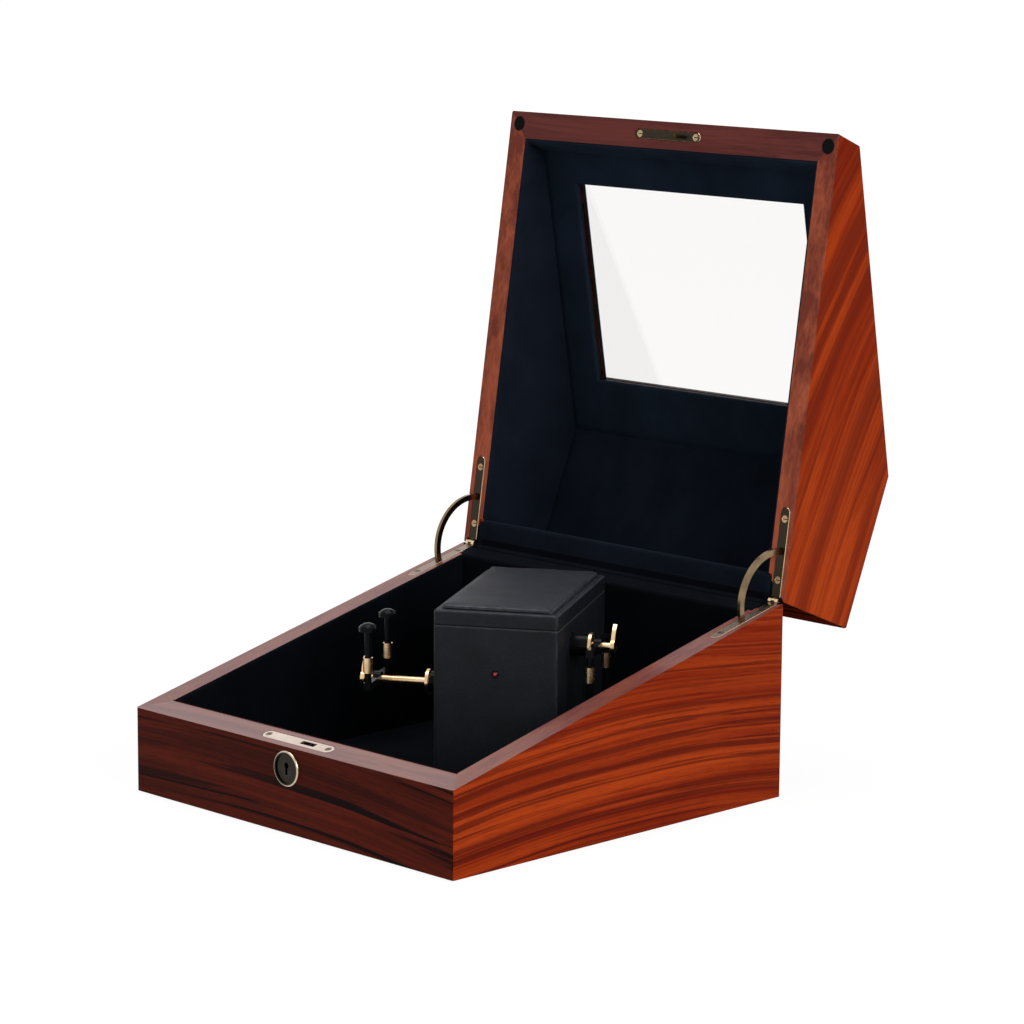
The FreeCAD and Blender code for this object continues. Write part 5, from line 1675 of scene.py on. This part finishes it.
@dataclass
class Fittings:
    """Hinges, lock, holders and works: CAD pieces that only need their finishes."""

    frame: dict
    finishes: dict[str, bpy.types.Material]

    def dress(self) -> None:
        """Gives each fitting its finish by name."""
        sides = ("left", "right")

        def both(*parts: str) -> list[str]:
            """The nodes of those parts of both holders."""
            return [f"{side}_{part}" for side in sides for part in parts]
        rows = {
            "base_plate_reflection": [f"base_leaf_{side}" for side in sides],
            "lid_plate_reflection": [f"lid_leaf_{side}" for side in sides] + ["link_plate"],
            "stay_brass": [f"stay_arm_{side}" for side in sides] + ["hinge_pins"],
            "pale_brass": ["lock_case"],
            "ringed_brass_reflection": ["lock_escutcheon"],
            "brass": both("spindle", "strap_bar", "post_ferrules"),
            "base_screw_brass": ["base_screws"],
            "lid_screw_brass": ["lid_screws"],
            "dark_brass": ["key_plug"],
            "black_plastic": both("grip_posts", "post_bracket") + ["battery_tray", "spindle_bushes"],
            "rubber": ["lid_bumpers"],
            "nylon": both("spindle_gear"),
            "steel": ["motor_pinion", "drive_motor", "gear_frame", "lock_bolt"],
            "cell_wrap": ["battery_cells"],
            "circuit_board": ["control_board"],
            "glass": ["window_glass"],
        }
        for finish, nodes in rows.items():
            for node in nodes:
                paint(self.frame, node, self.finishes[finish])


# Camera, lamps and surroundings

@dataclass(frozen=True)
class PhotoCamera:
    """The camera at the photograph's viewpoint; angles are in degrees."""

    place: Triple = (1.66104, -1.59221, 0.59333)
    yaw: float = 45.367
    pitch: float = 9.982
    roll: float = 0.376
    lens: float = 127.03
    sensor: float = 36.0
    clip: tuple[float, float] = (0.05, 200.0)

    def build(self) -> None:
        """Makes the camera and gives it to the scene."""
        data = bpy.data.cameras.new("photo_camera")
        data.lens = self.lens
        data.sensor_width = self.sensor
        data.clip_start, data.clip_end = self.clip
        yaw, pitch, roll = (math.radians(angle) for angle in (self.yaw, self.pitch, self.roll))
        ahead = Vector((-math.sin(yaw) * math.cos(pitch), math.cos(yaw) * math.cos(pitch), -math.sin(pitch)))
        right = Vector((math.cos(yaw), math.sin(yaw), 0.0))
        up = right.cross(ahead)
        turned_right = right * math.cos(roll) + up * math.sin(roll)
        turned_up = up * math.cos(roll) - right * math.sin(roll)
        camera = bpy.data.objects.new("photo_camera", data)
        bpy.context.scene.collection.objects.link(camera)
        basis = Matrix((turned_right, turned_up, -ahead)).transposed().to_4x4()
        camera.matrix_world = Matrix.Translation(self.place) @ basis
        bpy.context.scene.camera = camera


@dataclass(frozen=True)
class Lamp:
    """A soft square lamp aimed at the object."""

    name: str
    place: Triple
    width: float
    power: float
    target: Triple = (0.0, 0.05, 0.18)

    def build(self) -> None:
        """Makes the lamp."""
        data = bpy.data.lights.new(self.name, "AREA")
        data.shape = "SQUARE"
        data.size = self.width
        data.energy = self.power
        lamp = bpy.data.objects.new(self.name, data)
        bpy.context.scene.collection.objects.link(lamp)
        aim = (Vector(self.target) - Vector(self.place)).to_track_quat("-Z", "Y")
        lamp.matrix_world = Matrix.Translation(self.place) @ aim.to_matrix().to_4x4()


@dataclass(frozen=True)
class Studio:
    """A pale floor, white surroundings and three soft lamps."""

    floor_reach: float = 60.0
    floor_gap: float = 0.0002
    floor_colour: Colour = (0.82, 0.82, 0.82)
    near_glow: float = 1.05
    far_glow: float = 1.13
    fade_out: tuple[float, float] = (0.35, 1.6)
    glow_share: float = 0.9
    ambient: float = 0.20
    lamps: tuple[Lamp, ...] = (
        Lamp("key_lamp", (2.0, -0.42, 1.05), 1.1, 34.0),
        Lamp("top_lamp", (-0.2, 0.1, 2.3), 1.4, 22.0),
        Lamp("front_lamp", (-0.7, -2.2, 0.9), 1.2, 3.0),
    )

    @staticmethod
    def seen(graph: Graph) -> bpy.types.NodeSocket:
        """Tells which rays show the surroundings.

        Args:
            graph: the graph to add to.

        Returns:
            1 for rays from the camera, from glossy surfaces and through glass, and otherwise 0.
        """
        path = graph.put("ShaderNodeLightPath")
        either = graph.sum("MAXIMUM", path.outputs["Is Camera Ray"], path.outputs["Is Glossy Ray"])
        return graph.sum("MAXIMUM", either, path.outputs["Is Transmission Ray"])

    def build_floor(self) -> None:
        """The floor: pale, near white where it is seen and white far away, with the object's shadow kept."""
        corners = self.floor_reach * np.array([[-1.0, -1.0], [1.0, -1.0], [1.0, 1.0], [-1.0, 1.0]])
        points = np.column_stack([corners, np.full(len(corners), -self.floor_gap)])
        floor = mesh_object("floor", points, np.array([[0, 1, 2, 3]]))
        material = bpy.data.materials.new("pale_floor")
        material.use_nodes = True
        material.node_tree.nodes.clear()
        graph = Graph(material.node_tree)
        matt = graph.put("ShaderNodeBsdfDiffuse", {"Color": rgba(self.floor_colour)})
        place = graph.put("ShaderNodeTexCoord").outputs["Object"]
        strength = graph.span(graph.measure("LENGTH", place), *self.fade_out, self.near_glow, self.far_glow,
                              smooth=True)
        glow = graph.put("ShaderNodeEmission", {"Strength": strength})
        share = graph.times(self.seen(graph), self.glow_share)
        both = graph.put("ShaderNodeMixShader", {0: share, 1: matt.outputs[0], 2: glow.outputs[0]})
        graph.put("ShaderNodeOutputMaterial", {"Surface": both.outputs[0]})
        floor.data.materials.append(material)

    def build_world(self) -> None:
        """White surroundings where they are seen, and a dimmer even light elsewhere."""
        world = bpy.data.worlds.new("white_room")
        bpy.context.scene.world = world
        world.use_nodes = True
        world.node_tree.nodes.clear()
        graph = Graph(world.node_tree)
        strength = graph.between(self.seen(graph), (self.ambient, 1.0))
        room = graph.put("ShaderNodeBackground", {"Color": rgba((1.0, 1.0, 1.0)), "Strength": strength})
        graph.put("ShaderNodeOutputWorld", {"Surface": room.outputs[0]})

    def build(self) -> None:
        """Builds the floor, the surroundings and the lamps."""
        bpy.context.scene.view_settings.view_transform = "Standard"
        self.build_floor()
        self.build_world()
        for lamp in self.lamps:
            lamp.build()


def plain_finishes(frame: dict, effects: Effects, rims: RimNormals) -> dict[str, bpy.types.Material]:
    """The finishes that aren't wood or leather.

    Args:
        frame: the loaded part.
        effects: the shared node groups.
        rims: the way that the hinge and lock plates look.

    Returns:
        The materials by the names that the sub-assemblies use.
    """
    def screws(name: str, node: str, looks: Vector, bright: Colour, dull: Colour) -> SlottedMetal:
        """The finish of the screws of one node, level with their heads."""
        level = float((node_points(frame, node) @ np.array(looks)).max())
        return SlottedMetal(name, bright=bright, dull=dull, looks=tuple(looks), level=level)
    finishes = [
        # Painted light and shade: three copies of one velvet, darkest in the base and lightest round the
        # window.
        Cloth("base_velvet_shaded", low=(0.0014, 0.0018, 0.0028), high=(0.0032, 0.0042, 0.0066), sheen=0.02),
        Cloth("lid_velvet", low=(0.0044, 0.0064, 0.0110), high=(0.0088, 0.0126, 0.0224)),
        Cloth("window_velvet_lit", low=(0.0066, 0.0108, 0.0184), high=(0.0134, 0.0216, 0.0374)),
        Cloth("felt", low=(0.006, 0.006, 0.007), high=(0.014, 0.014, 0.016), fibre_scale=1500.0),
        Metal("brass"),
        Metal("stay_brass", bright=(0.31, 0.215, 0.12), dull=(0.14, 0.098, 0.056)),
        Metal("pale_brass", bright=(0.80, 0.67, 0.58), dull=(0.62, 0.50, 0.43)),
        # Painted reflections on the leaves' faces: pale pink on the base's, dark on the lid's and on the link
        # plate.
        PlateMetal("base_plate_reflection", face=(0.27, 0.205, 0.155), looks=tuple(rims.base)),
        PlateMetal("lid_plate_reflection", looks=tuple(rims.lid)),
        screws("base_screw_brass", "base_screws", rims.base, (0.24, 0.155, 0.08), (0.13, 0.085, 0.045)),
        screws("lid_screw_brass", "lid_screws", rims.lid, (0.50, 0.34, 0.19), (0.30, 0.20, 0.11)),
        RingedMetal("ringed_brass_reflection", bright=(0.66, 0.54, 0.41), dull=(0.42, 0.33, 0.24)),
        Metal("dark_brass", bright=(0.040, 0.032, 0.024), dull=(0.020, 0.016, 0.012), gloss=(0.28, 0.45)),
        Metal("steel", bright=(0.56, 0.56, 0.57), dull=(0.38, 0.38, 0.39), gloss=(0.3, 0.45)),
        Moulding("black_plastic", gloss=(0.12, 0.22)),
        Moulding("rubber", gloss=(0.7, 0.85), skin_strength=0.3, specular=0.05),
        Moulding("nylon", low=(0.62, 0.6, 0.52), high=(0.75, 0.73, 0.66), gloss=(0.45, 0.6), specular=0.4),
        Moulding("cell_wrap", low=(0.05, 0.055, 0.07), high=(0.09, 0.1, 0.12), gloss=(0.25, 0.35),
                 specular=0.4),
        Moulding("circuit_board", low=(0.012, 0.09, 0.035), high=(0.03, 0.17, 0.07), gloss=(0.35, 0.5),
                 specular=0.4),
        Glass("glass"),
    ]
    return {finish.name: finish.build(effects) for finish in finishes}


def main() -> None:
    """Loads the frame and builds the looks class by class."""
    logging.basicConfig(level=logging.INFO, format="%(name)s: %(message)s")
    for left_over in list(bpy.data.objects):
        bpy.data.objects.remove(left_over)
    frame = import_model()
    effects = Effects()
    effects.build()
    PhotoCamera().build()
    Studio().build()
    lid = LidFrame.from_joints(frame["joints"])
    rims = RimNormals.from_frame(frame, lid)
    finishes = plain_finishes(frame, effects, rims)
    WoodCase(frame, effects, lid, rims).dress()
    lining = VelvetLining(frame, lid, finishes["felt"], finishes["base_velvet_shaded"], finishes["lid_velvet"],
                          finishes["window_velvet_lit"])
    lining.line_base()
    lining.line_lid()
    lining.line_hinge()
    lining.line_underside()
    # Painted light: the charcoal leather made lighter and bluer for the light and sheen on the top, with a
    # brighter painted highlight along its edges.
    cushion_leather_lit = Leather("cushion_leather_lit", crease=(0.0024, 0.0032, 0.0062),
                              pebble=(0.0100, 0.0124, 0.0215), painted_highlight=(0.085, 0.090, 0.105), specular=0.28)
    DriveUnit(frame, effects, Leather("charcoal_leather"), cushion_leather_lit, finishes["black_plastic"],
              Lens("red_lens")).dress()
    Fittings(frame, finishes).dress()


if __name__ == "__main__":
    main()
